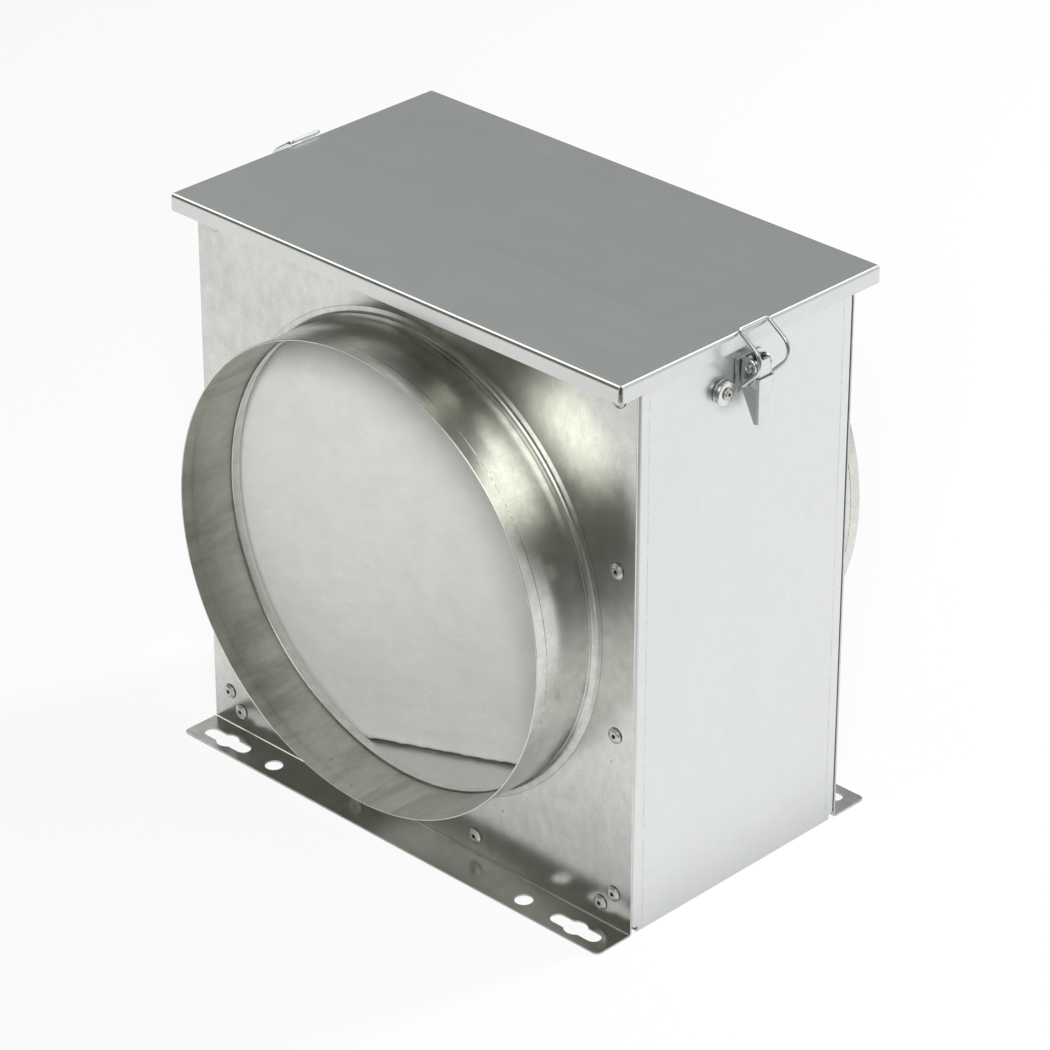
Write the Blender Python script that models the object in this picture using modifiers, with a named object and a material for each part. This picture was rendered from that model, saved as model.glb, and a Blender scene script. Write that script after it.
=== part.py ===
# Inline filter box for round ventilation duct: a folded sheet casing with a spigot at the front and
# the back, a lid held by two wire-bail toggle latches, and a fleece filter standing across the box.
# Metres, +Z up, +Y along the duct, +X towards the end wall with the grooved button.

import math

import bmesh
import bpy
from mathutils import Matrix, Vector

# Sheet metal
SHEET = 0.0010
FIT = 0.0003
FOLD_RADIUS = 0.0020
LID_FOLD_RADIUS = 0.0014

# Spigots
SPIGOT_RADIUS = 0.1245
SPIGOT_WALL = 0.0008
SPIGOT_REACH = 0.0400
COLLAR_REACH = 0.0069
COLLAR_ROLL = 0.0041
NECK_FLARE = 0.0045
SPIGOT_LIP = 0.0024
RIM_LAND = 0.0068
RIM_STEP = 0.0004
RIM_SLOPE = 0.0010

# Casing: a U of floor and end walls, with flanges that the front and rear panels are riveted to.
# It is laid out round the spigots, with room between their lips and the flanges.
CASING_DEPTH = 0.1500
SEAM_FLANGE = 0.0165
SPIGOT_SIDE_ROOM = 0.0021
SPIGOT_FLOOR_ROOM = 0.0075
SPIGOT_TOP_ROOM = 0.0142
SEAM_GAP = 0.0006
FOLD_RELIEF = 0.0040

# Front and rear panels
PANEL_SIDE_GAP = 0.0003
FOOT_DEPTH = 0.0234
FOOT_CORNER = 0.0030
TOP_FLANGE = 0.0135
TOP_FLANGE_CORNER = 0.0015

# Holes in the feet, for bolts or hanging hooks
FOOT_HOLE_LINE = 0.0137
SLOT_FROM_END = 0.0240
SLOT_LENGTH = 0.0320
SLOT_WIDTH = 0.0080
SLOT_EYE = 0.0122
ROUND_HOLE_FROM_END = 0.0595
ROUND_HOLE = 0.0095

# Blind rivets
RIVET_HEAD_RADIUS = 0.0042
RIVET_HEAD_HEIGHT = 0.0013
RIVET_RADIUS = 0.0020
RIVET_TAIL_RADIUS = 0.0027
RIVET_TAIL_LENGTH = 0.0032
SIDE_RIVET_INSET = 0.0118
SIDE_RIVET_FIRST = 0.0200
SIDE_RIVET_BELOW_RIM = 0.0110
SIDE_RIVETS = 4
FLOOR_RIVET_HEIGHT = 0.0110
FLOOR_RIVET_INSET = 0.0204
FLOOR_RIVETS = 4

# Lid and its foam seal
LID_END_ROOM = 0.0022
LID_FRONT_ROOM = 0.0005
LID_SKIRT = 0.0088
LID_CORNER_SEAM = 0.0016
GASKET_THICKNESS = 0.0040
GASKET_WIDTH = 0.0125
GASKET_SIDE_ROOM = 0.0006

# Filter fleece on its wire support, standing from one corner of the casing to the other. Each end
# is held between a seam flange and a guide on the end wall.
FILTER_CORNER_ROOM = 0.0050
PAD_THICKNESS = 0.0080
PAD_AHEAD_OF_CENTRE = 0.0039
PAD_BELOW_RIM = 0.0040
GRID_WIRE = 0.0020
GRID_WELD = 0.0004
GRID_UPRIGHTS = 6
GRID_CROSSBARS = 6
GRID_EDGE = 0.0080
GRID_RIVET_ROOM = 0.0008
GUIDE_SHEET = 0.0008
GUIDE_LIP = 0.0180
GUIDE_BELOW_RIM = 0.0100

# Toggle latches on the end walls
LATCH_OFF_CENTRE = 0.0012
PIVOT_OUT = 0.0060
PIVOT_BELOW_LID = 0.0188
PIN_RADIUS = 0.0015
PIN_HEAD_RADIUS = 0.0024
PIN_HEAD = 0.0006
PIN_DIMPLE_RADIUS = 0.0010
PIN_DIMPLE = 0.0005
BASE_SHEET = 0.0008
BASE_PLATE_WIDTH = 0.0180
BASE_ABOVE_PIVOT = 0.0040
BASE_BELOW_PIVOT = 0.0140
BASE_BEHIND_LEVER = 0.0004
BASE_RIVET_DROPS = (0.0, 0.0095)
BASE_RIVET_HEAD_RADIUS = 0.0032
LEVER_SHEET = 0.0010
LEVER_WIDTH = 0.0120
LEVER_FRONT_OUT = 0.0126
LEVER_LENGTH = 0.0280
LEVER_LOBE = 0.0043
LEVER_NOTCH_DROP = 0.0048
LEVER_CHEEK = 0.0108
LEVER_TIP_DEPTH = 0.0024
HOOK_BELOW_PIVOT = 0.0080
WIRE_RADIUS = 0.0010
BAIL_WIDTH = 0.0200
BAIL_BAR_OUT = 0.0030
BAIL_BOW_RADIUS = 0.0085
BAIL_BAR_RADIUS = 0.0022
BAIL_HOOK_RADIUS = 0.0016

# Grooved button beside the right latch
BUTTON_RADIUS = 0.0063
BUTTON_GROOVE_RADIUS = 0.0046
BUTTON_DISC = 0.0014
BUTTON_GROOVE = 0.0012
BUTTON_CHAMFER = 0.0006
BUTTON_ASIDE = 0.0196
BUTTON_BELOW_PIVOT = 0.0096

# Facets around each turned shape
SPIGOT_STEPS = 56
RIVET_STEPS = 8
SMALL_STEPS = 12
FOLD_STEPS = 3

# Places that several pieces share
NECK_RADIUS = SPIGOT_RADIUS + NECK_FLARE
LIP_RADIUS = NECK_RADIUS + SPIGOT_LIP
SPIGOT_AXIS_HEIGHT = SEAM_FLANGE + SPIGOT_FLOOR_ROOM + LIP_RADIUS
CASING_LENGTH = 2 * (LIP_RADIUS + SPIGOT_SIDE_ROOM + SEAM_FLANGE)
CASING_HEIGHT = SPIGOT_AXIS_HEIGHT + LIP_RADIUS + SPIGOT_TOP_ROOM
HALF_LENGTH = CASING_LENGTH / 2
HALF_DEPTH = CASING_DEPTH / 2
PANEL_FACE = HALF_DEPTH + FIT + SHEET
PANEL_HALF_WIDTH = HALF_LENGTH - PANEL_SIDE_GAP
LID_TOP = CASING_HEIGHT + FIT + GASKET_THICKNESS + FIT + SHEET
LID_HALF_LENGTH = HALF_LENGTH + LID_END_ROOM + SHEET
LID_HALF_DEPTH = PANEL_FACE + TOP_FLANGE + LID_FRONT_ROOM + SHEET
PIVOT_HEIGHT = LID_TOP - PIVOT_BELOW_LID
HOOK_HEIGHT = PIVOT_HEIGHT - HOOK_BELOW_PIVOT
FLOOR_TOP = SHEET + FIT
RIVET_HOLE = RIVET_RADIUS + FIT
PIN_HOLE = PIN_RADIUS + FIT
PANEL_GRIP = SHEET + FIT + SHEET
BUTTON_HEIGHT = BUTTON_DISC + BUTTON_GROOVE + BUTTON_DISC

OUTWARD = {
    "front": (math.pi / 2, 0, 0),
    "rear": (-math.pi / 2, 0, 0),
    "right": (0, math.pi / 2, 0),
    "left": (0, -math.pi / 2, 0),
}

for leftover in list(bpy.data.objects):
    bpy.data.objects.remove(leftover, do_unlink=True)

parts = bpy.data.collections.new("duct_filter_box")
cutters = bpy.data.collections.new("cutters")
cutters.hide_render = True
bpy.context.scene.collection.children.link(parts)
bpy.context.scene.collection.children.link(cutters)


def finish(name, colour, roughness, metallic):
    found = bpy.data.materials.new(name)
    found.use_nodes = True
    shader = found.node_tree.nodes["Principled BSDF"]
    shader.inputs["Base Color"].default_value = (*colour, 1)
    shader.inputs["Roughness"].default_value = roughness
    shader.inputs["Metallic"].default_value = metallic
    return found


galvanised = finish("galvanised_sheet", (0.66, 0.67, 0.66), 0.38, 0.9)
spigot_steel = finish("spigot_steel", (0.60, 0.61, 0.59), 0.34, 0.9)
lid_steel = finish("lid_steel", (0.58, 0.60, 0.59), 0.42, 0.9)
zinc = finish("zinc_plate", (0.76, 0.77, 0.76), 0.26, 1.0)
rivet_metal = finish("rivet_aluminium", (0.72, 0.72, 0.70), 0.40, 1.0)
fleece = finish("filter_fleece", (0.74, 0.74, 0.71), 0.95, 0.0)
foam = finish("seal_foam", (0.06, 0.06, 0.06), 0.90, 0.0)


def add(name, data, coat, place=(0, 0, 0), turn=(0, 0, 0), parent=None):
    part = bpy.data.objects.new(name, data)
    part.location = place
    part.rotation_euler = turn
    part.parent = parent
    data.materials.append(coat)
    parts.objects.link(part)
    return part


def add_cutter(name, data, place=(0, 0, 0), turn=(0, 0, 0), parent=None):
    tool = bpy.data.objects.new(name, data)
    tool.location = place
    tool.rotation_euler = turn
    tool.parent = parent
    tool.hide_render = True
    tool.display_type = "WIRE"
    cutters.objects.link(tool)
    return tool


def combine(part, tool, operation="DIFFERENCE"):
    step = part.modifiers.new(tool.name, "BOOLEAN")
    step.operation = operation
    step.solver = "EXACT"
    step.object = tool


def rods(name, radius, ends, steps=RIVET_STEPS):
    # one mesh of separate round rods, each from one end point to the other
    shape = bmesh.new()
    for start, stop in ends:
        axis = Vector(stop) - Vector(start)
        turn = axis.to_track_quat("Z", "Y").to_matrix().to_4x4()
        middle = Matrix.Translation((Vector(start) + Vector(stop)) / 2)
        bmesh.ops.create_cone(
            shape,
            cap_ends=True,
            segments=steps,
            radius1=radius,
            radius2=radius,
            depth=axis.length,
            matrix=middle @ turn,
        )
    mesh = bpy.data.meshes.new(name)
    shape.to_mesh(mesh)
    shape.free()
    return mesh


def arc(centre, radius, start, stop, steps):
    turns = [start + (stop - start) * i / steps for i in range(steps + 1)]
    return [(centre[0] + radius * math.cos(t), centre[1] + radius * math.sin(t)) for t in turns]


def prism(name, outlines, thickness):
    # flat outlines in XY, the first around the others, with their thickness centred on z = 0
    flat = bpy.data.curves.new(name + "_outline", "CURVE")
    flat.dimensions = "2D"
    flat.fill_mode = "BOTH"
    flat.extrude = thickness / 2
    for outline in outlines:
        spline = flat.splines.new("POLY")
        spline.points.add(len(outline) - 1)
        spline.use_cyclic_u = True
        for point, (x, y) in zip(spline.points, outline):
            point.co = (x, y, 0, 1)
    holder = bpy.data.objects.new(name + "_outline", flat)
    bpy.context.scene.collection.objects.link(holder)
    graph = bpy.context.evaluated_depsgraph_get()
    mesh = bpy.data.meshes.new_from_object(holder.evaluated_get(graph))
    bpy.data.objects.remove(holder, do_unlink=True)
    shape = bmesh.new()
    shape.from_mesh(mesh)
    bmesh.ops.remove_doubles(shape, verts=shape.verts, dist=1e-6)
    shape.to_mesh(mesh)
    shape.free()
    mesh.name = name
    return mesh


def turned(name, profile, closed, steps, coat, place, turn, parent=None):
    # profile of (radius, height) points, running down the outer side
    mesh = bpy.data.meshes.new(name)
    count = len(profile)
    links = [(i, (i + 1) % count) for i in range(count if closed else count - 1)]
    mesh.from_pydata([(radius, 0, height) for radius, height in profile], links, [])
    part = add(name, mesh, coat, place, turn, parent)
    spin = part.modifiers.new("turned", "SCREW")
    spin.axis = "Z"
    spin.angle = 2 * math.pi
    spin.screw_offset = 0
    spin.steps = steps
    spin.render_steps = steps
    spin.use_smooth_shade = True
    spin.use_merge_vertices = True
    spin.merge_threshold = 1e-6
    return part


def folded_sheet(name, columns, rows, keep, fold, radius, thickness, offset, corners=()):
    # a flat blank cut from a grid of columns and rows, folded up and given its thickness
    blank = bmesh.new()
    across, along = len(columns) - 1, len(rows) - 1
    bmesh.ops.create_grid(blank, x_segments=across, y_segments=along, size=0.5)
    place = {v: (round((v.co.x + 0.5) * across), round((v.co.y + 0.5) * along)) for v in blank.verts}
    waste = []
    for face in blank.faces:
        low = [min(place[v][axis] for v in face.verts) for axis in (0, 1)]
        if not keep(*low):
            waste.append(face)
    for vert, (i, j) in place.items():
        vert.co = fold(columns[i], rows[j])
    rounded = {size: [v for v, cell in place.items() if cell in cells] for size, cells in corners}
    bmesh.ops.delete(blank, geom=waste, context="FACES")
    for size, verts in rounded.items():
        bmesh.ops.bevel(
            blank, geom=verts, offset=size, offset_type="OFFSET", segments=2, profile=0.5, affect="VERTICES"
        )
    creases = [e for e in blank.edges if len(e.link_faces) == 2 and e.calc_face_angle() > 0.5]
    bmesh.ops.bevel(
        blank,
        geom=creases,
        offset=radius,
        offset_type="OFFSET",
        segments=FOLD_STEPS,
        profile=0.5,
        affect="EDGES",
    )
    mesh = bpy.data.meshes.new(name)
    blank.to_mesh(mesh)
    blank.free()
    mesh.shade_smooth()
    mesh.set_sharp_from_angle(angle=math.radians(40))
    part = add(name, mesh, galvanised)
    wall = part.modifiers.new("sheet", "SOLIDIFY")
    wall.thickness = thickness
    wall.offset = offset
    wall.use_even_offset = True
    return part


def rivet_places():
    # centres of one panel's rivets, as (x, z)
    places = []
    tall = CASING_HEIGHT - SIDE_RIVET_BELOW_RIM - SIDE_RIVET_FIRST
    for side in (-1, 1):
        for step in range(SIDE_RIVETS):
            height = SIDE_RIVET_FIRST + tall * step / (SIDE_RIVETS - 1)
            places.append((side * (HALF_LENGTH - SIDE_RIVET_INSET), height))
    wide = CASING_LENGTH - 2 * FLOOR_RIVET_INSET
    for step in range(FLOOR_RIVETS):
        across = wide * (step / (FLOOR_RIVETS - 1) - 0.5)
        places.append((across, FLOOR_RIVET_HEIGHT))
    return places


def rivet(name, place, side, grip, head_radius=RIVET_HEAD_RADIUS, parent=None):
    # head seated on the outer face at the place given, tail upset behind the grip
    top = FIT + RIVET_HEAD_HEIGHT
    back = -grip - FIT
    profile = [
        (0, top),
        (head_radius * 0.65, FIT + RIVET_HEAD_HEIGHT * 0.80),
        (head_radius, FIT),
        (RIVET_RADIUS, FIT),
        (RIVET_RADIUS, back),
        (RIVET_TAIL_RADIUS, back - RIVET_TAIL_LENGTH * 0.4),
        (0, back - RIVET_TAIL_LENGTH),
    ]
    return turned(name, profile, False, RIVET_STEPS, rivet_metal, place, OUTWARD[side], parent)


def casing():
    # folds along the end walls and the seam flanges, with the sheet notched where folds would meet
    up, seam, notch = CASING_HEIGHT, SEAM_FLANGE, FOLD_RELIEF
    columns = [-HALF_LENGTH - up, -HALF_LENGTH - notch, -HALF_LENGTH, -HALF_LENGTH + notch]
    columns += [-x for x in reversed(columns)]
    rows = [-HALF_DEPTH - seam, -HALF_DEPTH, -HALF_DEPTH + notch]
    rows += [-y for y in reversed(rows)]

    def keep(column, row):
        return row == 2 or column in (0, 3, 6)

    def fold(u, v):
        side = math.copysign(1, u)
        turned_in = max(abs(v) - HALF_DEPTH, 0)
        y = math.copysign(min(abs(v), HALF_DEPTH), v)
        mitre = seam + SEAM_GAP - notch if turned_in else 0
        if abs(u) > HALF_LENGTH:
            height = abs(u) - HALF_LENGTH
            height += mitre if height < up / 2 else 0
            return Vector((side * (HALF_LENGTH - turned_in), y, height))
        return Vector((side * (abs(u) - mitre), y, turned_in))

    wrap = folded_sheet("casing_wrap", columns, rows, keep, fold, FOLD_RADIUS, SHEET, 1)
    combine(wrap, panel_drill)
    combine(wrap, wall_drill)
    return wrap


def slot_outline(centre):
    # round-ended slot with a round eye at its middle
    half = SLOT_WIDTH / 2
    reach = SLOT_LENGTH / 2 - half
    lift = math.asin(half / (SLOT_EYE / 2))
    x, y = centre
    outline = arc((x + reach, y), half, -math.pi / 2, math.pi / 2, 6)
    outline += arc((x, y), SLOT_EYE / 2, lift, math.pi - lift, 5)
    outline += arc((x - reach, y), half, math.pi / 2, 3 * math.pi / 2, 6)
    outline += arc((x, y), SLOT_EYE / 2, math.pi + lift, 2 * math.pi - lift, 5)
    return outline


def panel_punch(name, facing):
    # every hole of one panel in a single tool: rivets, spigot bore, foot slots and foot holes
    bore = ((0, 0, SPIGOT_AXIS_HEIGHT), (0, facing * through, SPIGOT_AXIS_HEIGHT))
    line = facing * (PANEL_FACE + FOOT_HOLE_LINE)
    slot_x = HALF_LENGTH - SLOT_FROM_END
    hole_x = HALF_LENGTH - ROUND_HOLE_FROM_END
    holes = [((x, line, -FOOT_DEPTH), (x, line, FOOT_HOLE_LINE / 2)) for x in (-hole_x, hole_x)]
    shapes = [
        rods(name + "_bore", NECK_RADIUS + FIT, [bore], SPIGOT_STEPS),
        rods(name + "_rivets", RIVET_HOLE, panel_holes),
        rods(name + "_holes", ROUND_HOLE / 2, holes, 16),
    ]
    for x in (-slot_x, slot_x):
        shapes.append(prism(name + "_slot", [slot_outline((x, line))], FOOT_HOLE_LINE))
    shape = bmesh.new()
    for mesh in shapes:
        shape.from_mesh(mesh)
    whole = bpy.data.meshes.new(name)
    shape.to_mesh(whole)
    shape.free()
    return add_cutter(name, whole)


def panel(name, side, facing):
    # foot turned out at the bottom, shelf for the lid turned out at the top
    columns = [-PANEL_HALF_WIDTH, PANEL_HALF_WIDTH]
    rows = [0, 1, 2, 3]
    path = [
        (PANEL_FACE + FOOT_DEPTH, SHEET),
        (PANEL_FACE, SHEET),
        (PANEL_FACE, CASING_HEIGHT - SHEET),
        (PANEL_FACE + TOP_FLANGE, CASING_HEIGHT - SHEET),
    ]
    corners = (
        (FOOT_CORNER, ((0, 0), (1, 0))),
        (TOP_FLANGE_CORNER, ((0, 3), (1, 3))),
    )
    made = folded_sheet(
        name,
        columns,
        rows,
        lambda column, row: True,
        lambda u, v: Vector((-facing * u, facing * path[v][0], path[v][1])),
        FOLD_RADIUS - SHEET,
        SHEET,
        -1,
        corners,
    )
    combine(made, panel_punch(side + "_panel_punch", facing))
    return made


def spigot(name, side, facing):
    # tube that the duct is pushed over, swaged out a little at its rim
    outer, inner = SPIGOT_RADIUS, SPIGOT_RADIUS - SPIGOT_WALL
    land = SPIGOT_REACH - RIM_LAND
    end = COLLAR_ROLL + FIT
    profile = [
        (outer + RIM_STEP, SPIGOT_REACH),
        (outer + RIM_STEP, land),
        (outer, land - RIM_SLOPE),
        (outer, end),
        (inner, end),
        (inner, land - RIM_SLOPE),
        (inner + RIM_STEP, land),
        (inner + RIM_STEP, SPIGOT_REACH),
    ]
    place = (0, facing * PANEL_FACE, SPIGOT_AXIS_HEIGHT)
    return turned(name, profile, True, SPIGOT_STEPS, spigot_steel, place, OUTWARD[side])


def spigot_root(name, side, facing):
    # collar inside the tube's foot, rolled out to the panel's face and through it to a lip inside
    wall = SPIGOT_WALL
    inside = -SHEET - FIT
    collar = SPIGOT_RADIUS - SPIGOT_WALL - FIT

    def roll(turns, start, skin):
        # quarter of an ellipse, from along the tube to along the panel
        wide, tall = NECK_RADIUS - start, COLLAR_ROLL + skin
        turns = [math.radians(turn) for turn in turns]
        return [(NECK_RADIUS - wide * math.cos(t), COLLAR_ROLL - tall * math.sin(t)) for t in turns]

    profile = [(collar, COLLAR_REACH), (collar, COLLAR_ROLL)]
    profile += roll((0, 30, 60, 90), SPIGOT_RADIUS, 0)
    profile += [
        (NECK_RADIUS, inside),
        (LIP_RADIUS, inside),
        (LIP_RADIUS, inside - wall),
        (NECK_RADIUS - wall, inside - wall),
    ]
    profile += roll((60, 0), collar - wall, wall)
    profile.append((collar - wall, COLLAR_REACH))
    place = (0, facing * PANEL_FACE, SPIGOT_AXIS_HEIGHT)
    return turned(name, profile, True, SPIGOT_STEPS, spigot_steel, place, OUTWARD[side])


def lid():
    # shallow tray with its corners left open
    drop, seam = LID_SKIRT, LID_CORNER_SEAM
    columns = [-LID_HALF_LENGTH - drop, -LID_HALF_LENGTH, -LID_HALF_LENGTH + seam]
    columns += [-x for x in reversed(columns)]
    rows = [-LID_HALF_DEPTH - drop, -LID_HALF_DEPTH, -LID_HALF_DEPTH + seam]
    rows += [-y for y in reversed(rows)]

    def keep(column, row):
        return row == 2 or column == 2

    def fold(u, v):
        x = math.copysign(min(abs(u), LID_HALF_LENGTH), u)
        y = math.copysign(min(abs(v), LID_HALF_DEPTH), v)
        down = max(abs(u) - LID_HALF_LENGTH, abs(v) - LID_HALF_DEPTH, 0)
        return Vector((x, y, LID_TOP - down))

    cover = folded_sheet("lid", columns, rows, keep, fold, LID_FOLD_RADIUS, SHEET, -1)
    cover.data.materials[0] = lid_steel
    return cover


def rectangle(half_x, half_y):
    return [(-half_x, -half_y), (half_x, -half_y), (half_x, half_y), (-half_x, half_y)]


def gasket():
    # foam strip glued under the lid, resting on the rim of the casing
    out_x = LID_HALF_LENGTH - SHEET - GASKET_SIDE_ROOM
    out_y = LID_HALF_DEPTH - SHEET - GASKET_SIDE_ROOM
    inner = rectangle(out_x - GASKET_WIDTH, out_y - GASKET_WIDTH)
    ring = prism("lid_gasket", [rectangle(out_x, out_y), inner], GASKET_THICKNESS)
    return add("lid_gasket", ring, foam, (0, 0, CASING_HEIGHT + FIT + GASKET_THICKNESS / 2))


FILTER_ANGLE = math.atan2(HALF_DEPTH - FILTER_CORNER_ROOM, HALF_LENGTH)
GRID_THICKNESS = 2 * GRID_WIRE - GRID_WELD
PAD_REAR = PAD_THICKNESS - PAD_AHEAD_OF_CENTRE
GRID_REAR = PAD_REAR + FIT + GRID_THICKNESS
GUIDE_WALL = HALF_LENGTH - SHEET - FIT
FILTER_HALF = (
    GUIDE_WALL - GUIDE_SHEET - FIT - max(PAD_AHEAD_OF_CENTRE, PAD_REAR) * math.sin(FILTER_ANGLE)
) / math.cos(FILTER_ANGLE)
RIVET_TAIL_REACH = HALF_LENGTH - SIDE_RIVET_INSET - RIVET_TAIL_RADIUS
GRID_HALF = (RIVET_TAIL_REACH - GRID_RIVET_ROOM + GRID_REAR * math.sin(FILTER_ANGLE)) / math.cos(FILTER_ANGLE)
FILTER_HEIGHT = CASING_HEIGHT - PAD_BELOW_RIM - FLOOR_TOP


def across_filter(along, ahead):
    # plan point at a distance along the filter and behind its middle plane
    c, s = math.cos(FILTER_ANGLE), math.sin(FILTER_ANGLE)
    return (along * c - ahead * s, along * s + ahead * c)


def filter_pad():
    middle = (PAD_REAR - PAD_AHEAD_OF_CENTRE) / 2
    shape = bmesh.new()
    bmesh.ops.create_cube(shape, size=1)
    bmesh.ops.scale(shape, vec=(2 * FILTER_HALF, PAD_THICKNESS, FILTER_HEIGHT), verts=shape.verts)
    mesh = bpy.data.meshes.new("filter_pad")
    shape.to_mesh(mesh)
    shape.free()
    place = (*across_filter(0, middle), FLOOR_TOP + FILTER_HEIGHT / 2)
    pad = add("filter_pad", mesh, fleece, place, (0, 0, FILTER_ANGLE))
    soften = pad.modifiers.new("soft_edges", "BEVEL")
    soften.width = PAD_THICKNESS / 6
    soften.segments = 2
    return pad


def filter_grid():
    # welded wire mesh that carries the fleece on its downstream side
    half = GRID_HALF - GRID_WIRE / 2
    up, top = FLOOR_TOP + GRID_WIRE / 2, FLOOR_TOP + FILTER_HEIGHT - GRID_WIRE / 2
    near = PAD_REAR + FIT + GRID_WIRE / 2
    far = near + GRID_WIRE - GRID_WELD
    uprights = []
    for step in range(GRID_UPRIGHTS):
        along = -half + GRID_EDGE + (2 * half - 2 * GRID_EDGE) * step / (GRID_UPRIGHTS - 1)
        x, y = across_filter(along, near)
        uprights.append(((x, y, up), (x, y, top)))
    crossbars = []
    for step in range(GRID_CROSSBARS):
        height = up + GRID_EDGE + (top - up - 2 * GRID_EDGE) * step / (GRID_CROSSBARS - 1)
        crossbars.append(((*across_filter(-half, far), height), (*across_filter(half, far), height)))
    grid = add("filter_grid", rods("filter_grid", GRID_WIRE / 2, uprights, 6), zinc)
    weld = add_cutter("filter_crossbars", rods("filter_crossbars", GRID_WIRE / 2, crossbars, 6))
    combine(grid, weld, "UNION")
    return grid


def filter_guide(name, side):
    # angle on the end wall, its lip along the filter on the side away from the nearer seam flange
    sine, cosine = math.sin(FILTER_ANGLE), math.cos(FILTER_ANGLE)
    near = GRID_REAR + FIT if side < 0 else -PAD_AHEAD_OF_CENTRE - FIT
    away = near - side * GUIDE_SHEET
    tip = side * ((GUIDE_WALL - GUIDE_LIP) / cosine)
    end = side * (HALF_DEPTH - FOLD_RADIUS - FIT)

    def at_wall(ahead, inset):
        return across_filter((side * (GUIDE_WALL - inset) + ahead * sine) / cosine, ahead)

    outline = [
        across_filter(tip, away),
        at_wall(away, 0),
        (side * GUIDE_WALL, end),
        (side * (GUIDE_WALL - GUIDE_SHEET), end),
        at_wall(near, GUIDE_SHEET),
        across_filter(tip, near),
    ]
    foot = FLOOR_TOP + FOLD_RADIUS - SHEET
    height = CASING_HEIGHT - GUIDE_BELOW_RIM - foot
    return add(name, prism(name, [outline], height), galvanised, (0, 0, foot + height / 2))


def rounded_path(points, radii, steps):
    # the path through the points, with each inner corner turned on its radius
    path = [points[0]]
    for before, corner, after, radius in zip(points, points[1:], points[2:], radii):
        one, two = (before - corner).normalized(), (after - corner).normalized()
        half = one.angle(two) / 2
        centre = corner + (one + two).normalized() * radius / math.sin(half)
        start = corner + one * radius / math.tan(half) - centre
        stop = corner + two * radius / math.tan(half) - centre
        sweep = start.angle(stop)
        for step in range(steps + 1):
            share = step / steps
            mixed = start * math.sin((1 - share) * sweep) + stop * math.sin(share * sweep)
            path.append(centre + mixed / math.sin(sweep))
    return path + [points[-1]]


def latch_base(name, mount):
    # wall plate folded into a box that carries the pivot between its ears
    plate = FIT + BASE_SHEET
    ear = LEVER_WIDTH / 2 - LEVER_SHEET - FIT
    web = LEVER_FRONT_OUT - LEVER_SHEET - BASE_BEHIND_LEVER
    wide = BASE_PLATE_WIDTH / 2
    outline = [
        (FIT, -wide),
        (plate, -wide),
        (plate, -ear),
        (web, -ear),
        (web, ear),
        (plate, ear),
        (plate, wide),
        (FIT, wide),
    ]
    well = ear - BASE_SHEET
    hollow = [(plate, -well), (web - BASE_SHEET, -well), (web - BASE_SHEET, well), (plate, well)]
    tall = BASE_ABOVE_PIVOT + BASE_BELOW_PIVOT
    height = PIVOT_HEIGHT + (BASE_ABOVE_PIVOT - BASE_BELOW_PIVOT) / 2
    base = add(name, prism(name, [outline, hollow], tall), zinc, (0, 0, height), parent=mount)
    reach = BASE_PLATE_WIDTH
    bore = rods(name + "_bore", PIN_HOLE, [((0, -reach, 0), (0, reach, 0))], SMALL_STEPS)
    combine(base, add_cutter(name + "_bore", bore, (PIVOT_OUT, 0, PIVOT_HEIGHT), parent=mount))
    drill = [((-plate, 0, -drop), (2 * plate, 0, -drop)) for drop in BASE_RIVET_DROPS]
    holes = rods(name + "_drill", RIVET_HOLE, drill)
    combine(base, add_cutter(name + "_drill", holes, (0, 0, PIVOT_HEIGHT), parent=mount))
    return base


def latch_pin(name, mount):
    # headed pivot pin through the lever's cheeks and the base's ears
    end = LEVER_WIDTH / 2 + FIT + PIN_HEAD
    half = [
        (0, end - PIN_DIMPLE),
        (PIN_DIMPLE_RADIUS, end - PIN_DIMPLE),
        (PIN_DIMPLE_RADIUS * 1.2, end),
        (PIN_HEAD_RADIUS * 0.9, end),
        (PIN_HEAD_RADIUS, end - PIN_HEAD * 0.4),
        (PIN_HEAD_RADIUS, end - PIN_HEAD),
        (PIN_RADIUS, end - PIN_HEAD),
    ]
    profile = half + [(radius, -height) for radius, height in reversed(half)]
    place = (PIVOT_OUT, 0, PIVOT_HEIGHT)
    return turned(name, profile, False, SMALL_STEPS, zinc, place, (math.pi / 2, 0, 0), mount)


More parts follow.
